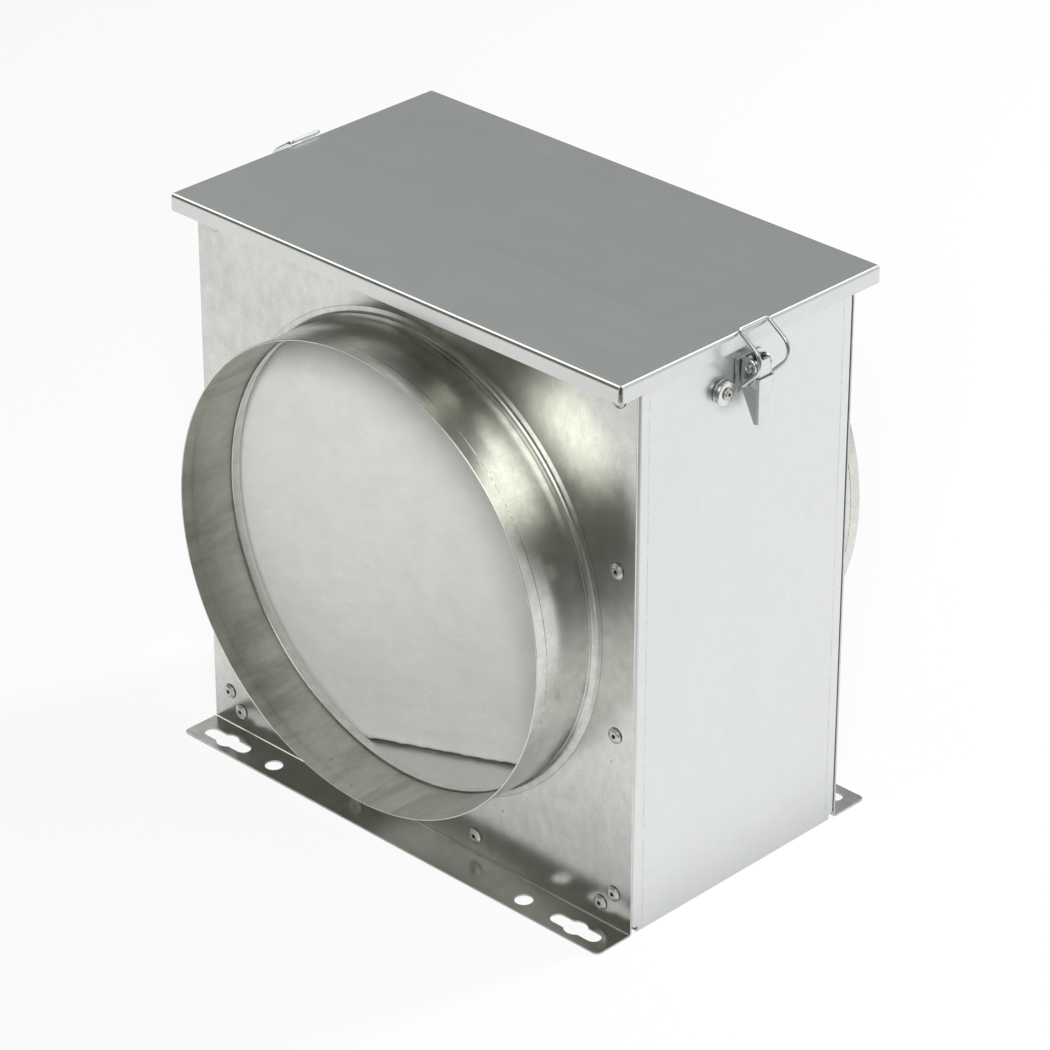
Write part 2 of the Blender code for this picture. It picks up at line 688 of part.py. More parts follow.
def latch_lever(name, mount):
    # channel with cheeks that taper to the finger tip, notched at the top to clear the base
    front = LEVER_FRONT_OUT - PIVOT_OUT
    lobe = LEVER_LOBE
    cheek = [
        (front, -LEVER_LENGTH),
        (front, -LEVER_NOTCH_DROP),
        (lobe, -LEVER_NOTCH_DROP),
    ]
    cheek += arc((0, 0), lobe, 0, math.pi, 8)
    cheek += [(-lobe, -LEVER_CHEEK), (front - LEVER_TIP_DEPTH, -LEVER_LENGTH)]
    turn = (math.pi / 2, 0, 0)
    place = (PIVOT_OUT, 0, PIVOT_HEIGHT)
    lever = add(name, prism(name, [cheek], LEVER_WIDTH), zinc, place, turn, mount)
    inside = front - LEVER_SHEET
    deep, tall = 2 * LEVER_FRONT_OUT, 3 * LEVER_LENGTH
    hollow = [(inside - deep, -tall), (inside, -tall), (inside, tall), (inside - deep, tall)]
    channel = prism(name + "_channel", [hollow], LEVER_WIDTH - 2 * LEVER_SHEET)
    combine(lever, add_cutter(name + "_channel", channel, place, turn, mount))
    wide = LEVER_WIDTH
    pivot = rods(name + "_pivot", PIN_HOLE, [((0, 0, -wide), (0, 0, wide))], SMALL_STEPS)
    combine(lever, add_cutter(name + "_pivot", pivot, place, turn, mount))
    hooks = rods(name + "_hooks", WIRE_RADIUS + FIT, [((0, 0, -wide), (0, 0, wide))], SMALL_STEPS)
    hook_place = (PIVOT_OUT, 0, HOOK_HEIGHT)
    combine(lever, add_cutter(name + "_hooks", hooks, hook_place, turn, mount))
    return lever


def latch_bail(name, mount):
    # bowed wire: its bar lies on the lid's edge and its ends hook into the lever's cheeks
    bar = Vector((BAIL_BAR_OUT - PIVOT_OUT, 0, LID_TOP + FIT + WIRE_RADIUS - HOOK_HEIGHT))
    slope = (bar.z - bar.x) / 2
    bow = Vector((slope, 0, slope))
    aside = Vector((0, BAIL_WIDTH / 2, 0))
    stub = Vector((0, LEVER_WIDTH / 2 - LEVER_SHEET, 0))
    hook = Vector((0, 0, 0))
    points = [hook - stub, hook - aside, bow - aside, bar - aside]
    points += [bar + aside, bow + aside, hook + aside, hook + stub]
    radii = [BAIL_HOOK_RADIUS, BAIL_BOW_RADIUS, BAIL_BAR_RADIUS]
    path = rounded_path(points, radii + radii[::-1], 4)
    wire = bpy.data.curves.new(name, "CURVE")
    wire.dimensions = "3D"
    wire.bevel_depth = WIRE_RADIUS
    wire.bevel_resolution = 2
    wire.use_fill_caps = True
    spline = wire.splines.new("POLY")
    spline.points.add(len(path) - 1)
    for point, place in zip(spline.points, path):
        point.co = (*place, 1)
    return add(name, wire, zinc, (PIVOT_OUT, 0, HOOK_HEIGHT), parent=mount)


def latch(side, turn):
    # everything is placed outwards from the end wall, on a mount that turns it to its side
    mount = bpy.data.objects.new(side + "_latch_mount", None)
    mount.rotation_euler.z = turn
    mount.location = Matrix.Rotation(turn, 4, "Z") @ Vector((HALF_LENGTH, -LATCH_OFF_CENTRE, 0))
    parts.objects.link(mount)
    latch_base(side + "_latch_base", mount)
    latch_pin(side + "_latch_pin", mount)
    latch_lever(side + "_latch_lever", mount)
    latch_bail(side + "_latch_bail", mount)
    grip = BASE_SHEET + FIT + SHEET
    for number, drop in enumerate(BASE_RIVET_DROPS, 1):
        place = (FIT + BASE_SHEET, 0, PIVOT_HEIGHT - drop)
        name = f"{side}_latch_rivet_{number}"
        rivet(name, place, "right", grip, BASE_RIVET_HEAD_RADIUS, mount)


def grooved_button():
    edge, top = BUTTON_CHAMFER, FIT + BUTTON_HEIGHT
    groove_top, groove_low = top - BUTTON_DISC, FIT + BUTTON_DISC
    profile = [
        (RIVET_HOLE, top),
        (BUTTON_RADIUS - edge, top),
        (BUTTON_RADIUS, top - edge),
        (BUTTON_RADIUS, groove_top),
        (BUTTON_GROOVE_RADIUS, groove_top),
        (BUTTON_GROOVE_RADIUS, groove_low),
        (BUTTON_RADIUS, groove_low),
        (BUTTON_RADIUS, FIT + edge),
        (BUTTON_RADIUS - edge, FIT),
        (RIVET_HOLE, FIT),
    ]
    place = (HALF_LENGTH, -BUTTON_ASIDE, PIVOT_HEIGHT - BUTTON_BELOW_PIVOT)
    turned("grooved_button", profile, True, 20, zinc, place, OUTWARD["right"])
    head = (HALF_LENGTH + FIT + BUTTON_HEIGHT, *place[1:])
    rivet("button_rivet", head, "right", BUTTON_HEIGHT + FIT + SHEET, BASE_RIVET_HEAD_RADIUS)


# Shared cutting tools
through = PANEL_FACE + FOOT_DEPTH
panel_holes = [((x, -through, z), (x, through, z)) for x, z in rivet_places()]
panel_drill = add_cutter("panel_drill", rods("panel_drill", RIVET_HOLE, panel_holes))
wall_holes = [(HALF_LENGTH, -BUTTON_ASIDE, PIVOT_HEIGHT - BUTTON_BELOW_PIVOT)]
wall_holes += [
    (side * HALF_LENGTH, -side * LATCH_OFF_CENTRE, PIVOT_HEIGHT - drop)
    for side in (-1, 1)
    for drop in BASE_RIVET_DROPS
]
wall_drill = add_cutter(
    "wall_drill",
    rods(
        "wall_drill",
        RIVET_HOLE,
        [((x - SEAM_FLANGE, y, z), (x + SEAM_FLANGE, y, z)) for x, y, z in wall_holes],
    ),
)

# The assembly
casing()
for side, facing in (("front", -1), ("rear", 1)):
    panel(side + "_panel", side, facing)
    spigot(side + "_spigot", side, facing)
    spigot_root(side + "_spigot_root", side, facing)
    for number, (x, z) in enumerate(rivet_places(), 1):
        rivet(f"{side}_rivet_{number:02d}", (x, facing * PANEL_FACE, z), side, PANEL_GRIP)
lid()
gasket()
filter_pad()
filter_grid()
filter_guide("filter_guide_left", -1)
filter_guide("filter_guide_right", 1)
latch("right", 0)
latch("left", math.pi)
grooved_button()
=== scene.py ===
import math

import bmesh
import bpy
from mathutils import Matrix, Vector, noise


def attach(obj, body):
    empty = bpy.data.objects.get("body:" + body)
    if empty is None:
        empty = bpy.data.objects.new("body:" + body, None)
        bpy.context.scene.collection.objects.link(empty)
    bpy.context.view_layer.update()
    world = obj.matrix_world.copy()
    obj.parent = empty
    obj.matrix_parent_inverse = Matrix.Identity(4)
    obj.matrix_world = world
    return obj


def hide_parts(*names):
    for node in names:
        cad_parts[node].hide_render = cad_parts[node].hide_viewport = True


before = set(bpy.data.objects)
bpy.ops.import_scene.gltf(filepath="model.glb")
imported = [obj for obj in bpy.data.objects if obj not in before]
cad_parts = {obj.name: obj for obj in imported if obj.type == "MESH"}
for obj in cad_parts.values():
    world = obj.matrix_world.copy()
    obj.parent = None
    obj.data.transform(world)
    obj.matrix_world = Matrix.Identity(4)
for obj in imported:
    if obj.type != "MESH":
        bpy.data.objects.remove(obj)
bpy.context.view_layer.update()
print("frame loaded:", len(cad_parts), "solids")

mm = 0.001
scene = bpy.context.scene
scene.view_settings.view_transform = "Standard"


def millimetres(sizes):
    return {name: value * mm for name, value in sizes.items()}


def addObject(name, data):
    made = bpy.data.objects.new(name, data)
    scene.collection.objects.link(made)
    return made


# inputs are plain values or other nodes' outputs
def feed(made, inputs):
    for name, value in inputs.items():
        if isinstance(value, bpy.types.NodeSocket):
            made.id_data.links.new(value, made.inputs[name])
        else:
            made.inputs[name].default_value = value


def node(tree, kind, inputs=None, **settings):
    made = tree.nodes.new(kind)
    for name, value in settings.items():
        setattr(made, name, value)
    feed(made, inputs or {})
    return made


# the node helpers below work in the tree of whichever value is an output
def treeOf(*values):
    return next(v.id_data for v in values if isinstance(v, bpy.types.NodeSocket))


def maths(operation, *values):
    return node(treeOf(*values), "ShaderNodeMath", dict(enumerate(values)), operation=operation).outputs[0]


def plus(one, two):
    return maths("ADD", one, two)


def minus(one, two):
    return maths("SUBTRACT", one, two)


def times(one, *others):
    for other in others:
        one = maths("MULTIPLY", one, other)
    return one


def spread(value, low, high, newLow, newHigh, how="LINEAR"):
    inputs = {"Value": value, "From Min": low, "From Max": high, "To Min": newLow, "To Max": newHigh}
    return node(value.id_data, "ShaderNodeMapRange", inputs, interpolation_type=how).outputs["Result"]


def blend(share, first, second, how="MIX"):
    tree = treeOf(share, first, second)
    first, second = ((*c, 1) if isinstance(c, tuple) else c for c in (first, second))
    inputs = {0: share, 6: first, 7: second}
    return node(tree, "ShaderNodeMix", inputs, data_type="RGBA", blend_type=how).outputs[2]


def split(vector):
    return node(vector.id_data, "ShaderNodeSeparateXYZ", {"Vector": vector}).outputs


def combine(*axes):
    return node(treeOf(*axes), "ShaderNodeCombineXYZ", dict(enumerate(axes))).outputs[0]


def dot(vector, direction):
    inputs = {0: vector, 1: direction}
    return node(vector.id_data, "ShaderNodeVectorMath", inputs, operation="DOT_PRODUCT").outputs["Value"]


# camera, light and floor
shot = {
    "azimuth": 44.25,
    "elevation": 28.63,
    "distance": 2.2547,
    "target": (0.00366, 0.0, 0.1436),
    "lens": 153.55,
    "sensor": 36.0,
}
studio = {
    "skyBehind": (0.31, 0.32, 0.315),  # what metal sees above the white floor
    "skyInFront": (0.14, 0.14, 0.12),
    "skyTurn": ((-0.3, 0.95, 0.0), -0.1, 0.6),  # the way from one to the other
    "glows": (  # soft panels that only metal mirrors: towards, full inside and gone outside (degrees), colour
        ((0.455, -0.629, 0.63), 2, 26, (2.5, 2.5, 2.37)),
        ((-0.55, 0.12, 0.826), 21, 30, (1.8, 1.8, 1.8)),
        ((-0.10, 0.62, 0.78), 13, 22, (1.8, 1.8, 1.8)),
        ((0.70, 0.50, 0.50), 12, 50, (0.50, 0.51, 0.51)),
    ),
    "ambient": 0.17,
    "floorHalf": 6.0,
    "floorHeight": -0.3 * mm,
    "floorColour": (0.82, 0.82, 0.82, 1),
    "floorShade": 0.12,  # how much of the floor's own shading the picture keeps
    "floorAway": (0.62, -0.78, 0.0),
    "floorFade": (0.25, 0.70, 0.12),  # where the mirrored floor falls off that way, and to what
    "footShade": 0.38,  # how dark the floor close to the feet is in the metal
    "footBeside": (0.14, 0.19),
    "footAhead": (0.10, 0.22),
    "lamps": (  # for what isn't metal, one from the camera's side and one from behind: place, size, watts
        ("frontLamp", (1.15, -1.28, 1.27), 0.35, 37),
        ("rearLamp", (0.55, 1.70, 0.95), 0.35, 40),
    ),
    "lampAim": (0.0, -0.05, 0.15),
}


def lookAlong(direction):
    return direction.to_track_quat("-Z", "Y").to_euler()


def placeCamera():
    turn, lift = math.radians(shot["azimuth"]), math.radians(shot["elevation"])
    back = Vector((math.sin(turn) * math.cos(lift), -math.cos(turn) * math.cos(lift), math.sin(lift)))
    lens = bpy.data.cameras.new("camera")
    lens.lens = shot["lens"]
    lens.sensor_width = shot["sensor"]
    lens.sensor_fit = "HORIZONTAL"
    camera = addObject("camera", lens)
    camera.location = Vector(shot["target"]) + back * shot["distance"]
    camera.rotation_euler = lookAlong(-back)
    scene.camera = camera


def backgroundRays(tree):
    path = node(tree, "ShaderNodeLightPath").outputs
    seen = maths("MAXIMUM", path["Is Camera Ray"], path["Is Glossy Ray"])
    return path["Is Camera Ray"], maths("MAXIMUM", seen, path["Is Transmission Ray"])


def lightRoom():
    world = bpy.data.worlds.new("room")
    scene.world = world
    world.use_nodes = True
    tree = world.node_tree
    tree.nodes.clear()
    direct, seen = backgroundRays(tree)
    toward = node(tree, "ShaderNodeTexCoord").outputs["Generated"]

    def facing(direction):
        return dot(toward, Vector(direction).normalized())

    aim, dim, bright = studio["skyTurn"]
    sky = blend(spread(facing(aim), dim, bright, 0.0, 1.0), studio["skyInFront"], studio["skyBehind"])
    for direction, inside, outside, colour in studio["glows"]:
        near, far = math.cos(math.radians(inside)), math.cos(math.radians(outside))
        share = spread(facing(direction), far, near, 0.0, 1.0, "SMOOTHSTEP")
        sky = blend(share, sky, colour, "ADD")
    sky = blend(direct, sky, (1, 1, 1))
    mirrored = node(tree, "ShaderNodeBackground", {"Color": sky, "Strength": 1.0}).outputs[0]
    plain = {"Color": (1, 1, 1, 1), "Strength": studio["ambient"]}
    around = node(tree, "ShaderNodeBackground", plain).outputs[0]
    both = node(tree, "ShaderNodeMixShader", {0: seen, 1: around, 2: mirrored}).outputs[0]
    node(tree, "ShaderNodeOutputWorld", {"Surface": both})
    for name, place, size, watts in studio["lamps"]:
        lamp = bpy.data.lights.new(name, "AREA")
        lamp.size, lamp.energy = size, watts
        holder = addObject(name, lamp)
        holder.location = place
        holder.visible_glossy = False
        holder.rotation_euler = lookAlong(Vector(studio["lampAim"]) - Vector(place))


def layFloor():
    mesh = bpy.data.meshes.new("studioFloor")
    half, height = studio["floorHalf"], studio["floorHeight"]
    corners = [(x * half, y * half, height) for x, y in ((-1, -1), (1, -1), (1, 1), (-1, 1))]
    mesh.from_pydata(corners, [], [(0, 1, 2, 3)])
    coat = bpy.data.materials.new("paleFloor")
    coat.use_nodes = True
    tree = coat.node_tree
    tree.nodes.clear()
    direct, seen = backgroundRays(tree)
    spot = node(tree, "ShaderNodeTexCoord").outputs["Object"]
    near, far, low = studio["floorFade"]
    level = spread(dot(spot, studio["floorAway"]), near, far, 1.0, low)
    parts = split(spot)
    beside = spread(maths("ABSOLUTE", parts["X"]), *studio["footBeside"], 1.0, 0.0)
    ahead = spread(maths("ABSOLUTE", parts["Y"]), *studio["footAhead"], 1.0, 0.0, "SMOOTHSTEP")
    level = times(level, minus(1.0, times(beside, ahead, studio["footShade"])))
    level = maths("MAXIMUM", level, direct)
    white = node(tree, "ShaderNodeEmission", {"Color": (1, 1, 1, 1), "Strength": level}).outputs[0]
    plain = node(tree, "ShaderNodeBsdfDiffuse", {"Color": studio["floorColour"]}).outputs[0]
    share = times(seen, 1 - studio["floorShade"])
    both = node(tree, "ShaderNodeMixShader", {0: share, 1: plain, 2: white}).outputs[0]
    node(tree, "ShaderNodeOutputMaterial", {"Surface": both})
    mesh.materials.append(coat)
    addObject("studioFloor", mesh)


placeCamera()
lightRoom()
layFloor()
print("camera, room and floor set")


# finishes, all laid in object coordinates
def freshCoat(name):
    coat = bpy.data.materials.new(name)
    coat.use_nodes = True
    tree = coat.node_tree
    return coat, tree.nodes["Principled BSDF"], node(tree, "ShaderNodeTexCoord").outputs["Object"]


def aroundDuct(where, height, radius):
    # distance round the duct's axis and along it, and out from it
    parts = split(where)
    rise = minus(parts["Z"], height)
    bowed = times(maths("ARCTAN2", parts["X"], rise), radius)
    out = maths("SQRT", plus(maths("POWER", parts["X"], 2.0), maths("POWER", rise, 2.0)))
    return combine(bowed, parts["Y"], 0.0), out


def streaks(where, scale, detail=4.0, stretch=(1, 1, 1)):
    drawn = node(where.id_data, "ShaderNodeMapping", {"Vector": where, "Scale": stretch}).outputs[0]
    inputs = {"Vector": drawn, "Scale": scale, "Detail": detail, "Roughness": 0.6}
    return node(where.id_data, "ShaderNodeTexNoise", inputs).outputs["Fac"]


def specks(where, scale, rare, size):
    cells = node(where.id_data, "ShaderNodeTexVoronoi", {"Vector": where, "Scale": scale}).outputs
    chosen = node(where.id_data, "ShaderNodeSeparateColor", {"Color": cells["Color"]}).outputs[0]
    return maths("LESS_THAN", cells["Distance"], spread(chosen, rare, 1.0, 0.0, size))


def fineLine(place, line, width, dashes):
    # a broken line drawn across the sheet, this far to either side of the middle
    away = maths("ABSOLUTE", minus(maths("ABSOLUTE", place), line))
    drawn = spread(away, 0.3 * width, width, 1.0, 0.0)
    return times(drawn, spread(dashes, 0.42, 0.58, 0.15, 1.0))


def bump(height, strength, depth, **under):
    inputs = {"Height": height, "Strength": strength, "Distance": depth, **under}
    return node(height.id_data, "ShaderNodeBump", inputs).outputs[0]


# zinc-coated sheet: soft patches, mottles drawn out by the rolls, fine grain, dark specks
def sheetSteel(name, look):
    coat, shader, where = freshCoat(name)
    laid, dull = where, None
    if "ductHeight" in look:
        laid, out = aroundDuct(where, look["ductHeight"], look["ductRadius"])
        dull = spread(out, look["innerRadius"], look["innerRadius"] + 0.3 * mm, 1.0, 0.0)
    clouds = streaks(where, look["cloudScale"], 3.0)
    mottle = streaks(laid, 1.0, 3.0, look["mottling"])
    rolled = streaks(laid, 1.0, 3.0, look["rolling"])
    grain = streaks(where, look["grainScale"], 2.0)
    tone = 0.5
    weights = ("cloudiness", "mottleTone", "rollTone", "grainTone")
    for pattern, weight in zip((clouds, mottle, rolled, grain), weights):
        tone = plus(tone, times(minus(pattern, 0.5), look[weight]))
    colour = blend(tone, look["dark"], look["light"])
    marks = times(specks(where, look["speckScale"], 0.55, 0.09), look["speckTone"])
    if "line" in look:
        dashes = streaks(where, look["dashScale"], 2.0)
        line = fineLine(split(where)["Y"], look["line"], look["lineWidth"], dashes)
        line = times(line, look["lineTone"])
        if dull:
            line = times(line, minus(1.0, times(dull, 0.7)))  # fainter inside the duct
        marks = maths("MAXIMUM", marks, line)
    colour = blend(marks, colour, look["markColour"])
    rough = spread(clouds, 0.3, 0.7, look["roughness"] - look["swing"], look["roughness"] + look["swing"])
    metal = look["metallic"]
    # inside the duct the colour is multiplied darker all over: painted shade; the streaks on it are stains
    if dull:
        stains = spread(streaks(laid, 1.0, 3.0, look["staining"]), 0.48, 0.66, 0.0, 0.55)
        stained = blend(stains, look["innerShadeTint"], look["innerStain"])
        colour = blend(dull, colour, blend(1.0, colour, stained, "MULTIPLY"))
        rough = plus(rough, times(dull, look["innerDulling"]))
        metal = spread(dull, 0.0, 1.0, metal, look["innerMetallic"])
    lying = bump(streaks(where, look["waveScale"], 1.0), 1.0, look["waveDepth"])
    pitted = bump(grain, 0.25, look["pitting"], Normal=lying)
    feed(shader, {"Base Color": colour, "Roughness": rough, "Metallic": metal, "Normal": pitted})
    return coat


plainSheet = {
    "dark": (0.69, 0.71, 0.705),
    "light": (0.85, 0.875, 0.87),
    "cloudScale": 26.0,
    "cloudiness": 0.5,
    "mottling": (160.0, 160.0, 105.0),  # patterns a metre, along X, Y and Z
    "mottleTone": 0.5,
    "rolling": (130.0, 130.0, 3.0),
    "rollTone": 0.06,
    "grainScale": 1100.0,
    "grainTone": 0.8,
    "speckScale": 95.0,
    "speckTone": 0.35,
    "dashScale": 420.0,
    "markColour": (0.16, 0.16, 0.14),
    "roughness": 0.34,
    "swing": 0.015,
    "metallic": 0.97,
    "waveScale": 7.0,
    "waveDepth": 0.2 * mm,
    "pitting": 0.012 * mm,
}
wall = {
    **plainSheet,
    "cloudiness": 0.35,
    "mottleTone": 0.3,
    "line": 68.2 * mm,
    "lineWidth": 0.5 * mm,
    "lineTone": 0.3,
}
bareSheet = {
    **plainSheet,
    "dark": (0.51, 0.515, 0.49),
    "light": (0.82, 0.825, 0.795),
    "cloudiness": 0.7,
    "mottleTone": 0.8,
    "roughness": 0.21,
    "metallic": 1.0,
}
duct = {
    **plainSheet,
    "dark": (0.55, 0.555, 0.515),
    "light": (0.87, 0.875, 0.83),
    "ductHeight": 155.4 * mm,
    "ductRadius": 0.124,
    "innerRadius": 124.1 * mm,
    "innerDulling": 0.20,
    "innerMetallic": 0.86,
    # inside the duct: painted shade over the whole surface, streaky stains, duller and less metallic
    "innerShadeTint": (0.70, 0.71, 0.665),
    "innerStain": (0.42, 0.43, 0.38),
    "staining": (75.0, 14.0, 1.0),  # round the duct and along it
    "mottling": (160.0, 110.0, 1.0),
    "mottleTone": 0.8,
    "rolling": (240.0, 9.0, 1.0),
    # dark dashed line along the rim's crease: dirt, and painted shade in the crease
    "line": 109.5 * mm,
    "lineWidth": 0.35 * mm,
    "lineTone": 0.75,
    "roughness": 0.24,
    "metallic": 1.0,
    "waveDepth": 0.1 * mm,
}
collar = {
    **plainSheet,
    "dark": (0.50, 0.51, 0.48),
    "light": (0.82, 0.83, 0.80),
    "mottleTone": 1.0,
    "roughness": 0.24,
    "metallic": 1.0,
}
cover = {
    **plainSheet,
    "dark": (0.60, 0.62, 0.60),
    "light": (0.80, 0.82, 0.80),
    "cloudiness": 0.2,
    "mottling": (60.0, 190.0, 60.0),
    "mottleTone": 0.15,
    "rolling": (3.0, 150.0, 150.0),
    "rollTone": 0.3,
    "grainTone": 0.35,
    "speckTone": 0.15,
    "roughness": 0.24,
    "swing": 0.004,
    "waveDepth": 0.06 * mm,
    "pitting": 0.002 * mm,
}
plating = {
    **plainSheet,
    "dark": (0.62, 0.64, 0.64),
    "light": (0.84, 0.86, 0.86),
    "cloudScale": 160.0,
    "rolling": (90.0, 90.0, 900.0),
    "speckTone": 0.0,
    "roughness": 0.20,
    "metallic": 1.0,
    "waveScale": 60.0,
    "waveDepth": 0.03 * mm,
}
wallSteel = sheetSteel("wallSteel", wall)
panelSteel = sheetSteel("panelSteel", bareSheet)
ductSteel = sheetSteel("ductSteel", duct)
rolledSteel = sheetSteel("rolledSteel", collar)
lidSteel = sheetSteel("lidSteel", cover)
latchZinc = sheetSteel("latchZinc", plating)


# blind rivets: dull aluminium, painted shade down the hole, and grime with a painted contact shadow round the foot of
# the head
dullRivet = {
    "dark": (0.58, 0.58, 0.56),
    "light": (0.80, 0.80, 0.78),
    "rust": (0.42, 0.36, 0.30),
    "rustShare": 0.15,
    "dirtAndShade": (0.05, 0.045, 0.04),
    "roughness": 0.36,
}


def rivetFinish(name, look):
    coat, shader, where = freshCoat(name)
    hollow, grime = (
        node(where.id_data, "ShaderNodeAttribute", attribute_name=mark).outputs["Fac"] for mark in ("hollow", "grime")
    )
    patches = streaks(where, 420.0)
    spots = spread(streaks(where, 700.0, 3.0), 0.5, 0.62, 0.0, look["rustShare"])
    colour = blend(spots, blend(patches, look["dark"], look["light"]), look["rust"])
    # the hole is painted dark as shade; the ring round the foot of the head is grime and painted contact shadow
    colour = blend(maths("MAXIMUM", hollow, times(grime, 0.85)), colour, look["dirtAndShade"])
    rough = spread(patches, 0.3, 0.7, look["roughness"] - 0.06, look["roughness"] + 0.10)
    dents = bump(patches, 0.4, 0.06 * mm)
    feed(shader, {"Base Color": colour, "Roughness": rough, "Metallic": 0.95, "Normal": dents})
    return coat


rivetAluminium = rivetFinish("rivetAluminium", dullRivet)
rustyRivet = rivetFinish("rustyRivet", {**dullRivet, "rust": (0.50, 0.34, 0.22), "rustShare": 0.65})


# filter fleece: matted fibres, fine bright flecks painted as glints of the fibres, soft shading of thicker and
# thinner places
def fleeceFinish():
    coat, shader, where = freshCoat("filterFleece")
    matted = streaks(where, 90.0, 8.0)
    fibre = streaks(where, 900.0, 5.0, (1, 1, 4))
    cross = streaks(where, 900.0, 5.0, (4, 4, 1))
    tone = plus(times(matted, 0.5), times(fibre, 0.5))
    colour = blend(spread(tone, 0.3, 0.7, 0.0, 1.0), (0.60, 0.60, 0.575), (0.70, 0.70, 0.675))
    # bright flecks: painted highlights standing for glints of the fibres
    colour = blend(specks(where, 150.0, 0.4, 0.08), colour, (0.80, 0.80, 0.785))
    rough = spread(fibre, 0.3, 0.7, 0.85, 1.0)
    nap = bump(plus(fibre, cross), 0.7, 0.25 * mm)
    feed(shader, {"Base Color": colour, "Roughness": rough, "Normal": nap})
    feed(shader, {"Sheen Weight": 0.25, "Sheen Roughness": 0.6})
    return coat


# closed-cell seal foam: dark, matt, pricked all over
def foamFinish():
    coat, shader, where = freshCoat("sealFoam")
    cells = node(where.id_data, "ShaderNodeTexVoronoi", {"Vector": where, "Scale": 1300.0}).outputs["Distance"]
    patches = streaks(where, 120.0)
    colour = blend(patches, (0.035, 0.036, 0.038), (0.085, 0.086, 0.088))
    rough = spread(patches, 0.3, 0.7, 0.8, 0.95)
    feed(shader, {"Base Color": colour, "Roughness": rough, "Normal": bump(cells, 0.6, 0.2 * mm)})
    return coat


filterFleece = fleeceFinish()
sealFoam = foamFinish()
print("finishes mixed")


# mesh helpers
def plainMesh(holder):
    return bpy.data.meshes.new_from_object(holder.evaluated_get(bpy.context.evaluated_depsgraph_get()))


def meshOf(shape, name):
    mesh = bpy.data.meshes.new(name)
    shape.to_mesh(mesh)
    shape.free()
    return mesh


def remade(mesh, change):
    shape = bmesh.new()
    shape.from_mesh(mesh)
    change(shape)
    shape.to_mesh(mesh)
    shape.free()
    return mesh


def faceOut(shape):
    bmesh.ops.recalc_face_normals(shape, faces=shape.faces)


def standPiece(name, mesh, coat):
    piece = addObject(name, mesh)
    mesh.materials.clear()
    mesh.materials.append(coat)
    return piece


def settle(piece):
    # modifiers become plain mesh
    mesh = plainMesh(piece)
    mesh.name = piece.name
    piece.modifiers.clear()
    piece.data = mesh
    return piece


def modified(piece, kind, **settings):
    step = piece.modifiers.new(kind.lower(), kind)
    for name, value in settings.items():
        setattr(step, name, value)
    return settle(piece)


def smooth(mesh, degrees):
    mesh.shade_smooth()
    mesh.set_sharp_from_angle(angle=math.radians(degrees))


def breakEdges(piece, width):
    # cut edges slightly rounded, flat faces kept flat
    limit = {"limit_method": "ANGLE", "angle_limit": math.radians(50), "use_clamp_overlap": True}
    modified(piece, "BEVEL", width=width, segments=2, **limit)
    smooth(piece.data, 60)
    modified(piece, "WEIGHTED_NORMAL", keep_sharp=True)


def carve(piece, tool):
    cutter = addObject("cutter", tool)
    modified(piece, "BOOLEAN", operation="DIFFERENCE", solver="EXACT", object=cutter)
    bpy.data.objects.remove(cutter, do_unlink=True)


def roundOff(shape, geom, size, steps, affect):
    bmesh.ops.bevel(
        shape, geom=geom, offset=size, offset_type="OFFSET", segments=steps, profile=0.5, affect=affect
    )


def joined(meshes):
    shape = bmesh.new()
    for mesh in meshes:
        shape.from_mesh(mesh)
    return meshOf(shape, "joined")


def rod(start, stop, radius, steps):
    start, stop = Vector(start), Vector(stop)
    axis = stop - start
    turn = axis.to_track_quat("Z", "Y").to_matrix().to_4x4()
    size = {"segments": steps, "radius1": radius, "radius2": radius, "depth": axis.length}
    shape = bmesh.new()
    bmesh.ops.create_cone(shape, cap_ends=True, matrix=Matrix.Translation((start + stop) / 2) @ turn, **size)
    return meshOf(shape, "rod")


def arc(centre, radius, start, stop, steps):
    turns = [start + (stop - start) * i / steps for i in range(steps + 1)]
    return [(centre[0] + radius * math.cos(t), centre[1] + radius * math.sin(t)) for t in turns]


def roundCorners(points, radii, steps, closed=True):
    # the outline with each corner that has a radius turned on it
    points = [Vector(p).to_3d() for p in points]
    count = len(points)
    found = []
    for i, (corner, radius) in enumerate(zip(points, radii)):
        if not radius or (not closed and i in (0, count - 1)):
            found.append(corner)
            continue
        before, after = points[i - 1], points[(i + 1) % count]
        one, two = (before - corner).normalized(), (after - corner).normalized()
        half = one.angle(two) / 2
        centre = corner + (one + two).normalized() * radius / math.sin(half)
        start = corner + one * radius / math.tan(half) - centre
        stop = corner + two * radius / math.tan(half) - centre
        sweep = start.angle(stop)
        for step in range(steps + 1):
            share = step / steps
            mixed = start * math.sin((1 - share) * sweep) + stop * math.sin(share * sweep)
            found.append(centre + mixed / math.sin(sweep))
    return found


def curveMesh(paths, closed, **settings):
    curve = bpy.data.curves.new("outline", "CURVE")
    for name, value in settings.items():
        setattr(curve, name, value)
    for path in paths:
        spline = curve.splines.new("POLY")
        spline.points.add(len(path) - 1)
        spline.use_cyclic_u = closed
        for point, place in zip(spline.points, path):
            point.co = (*Vector(place).to_3d(), 1)
    holder = addObject("outline", curve)
    mesh = plainMesh(holder)
    bpy.data.objects.remove(holder, do_unlink=True)
    return mesh


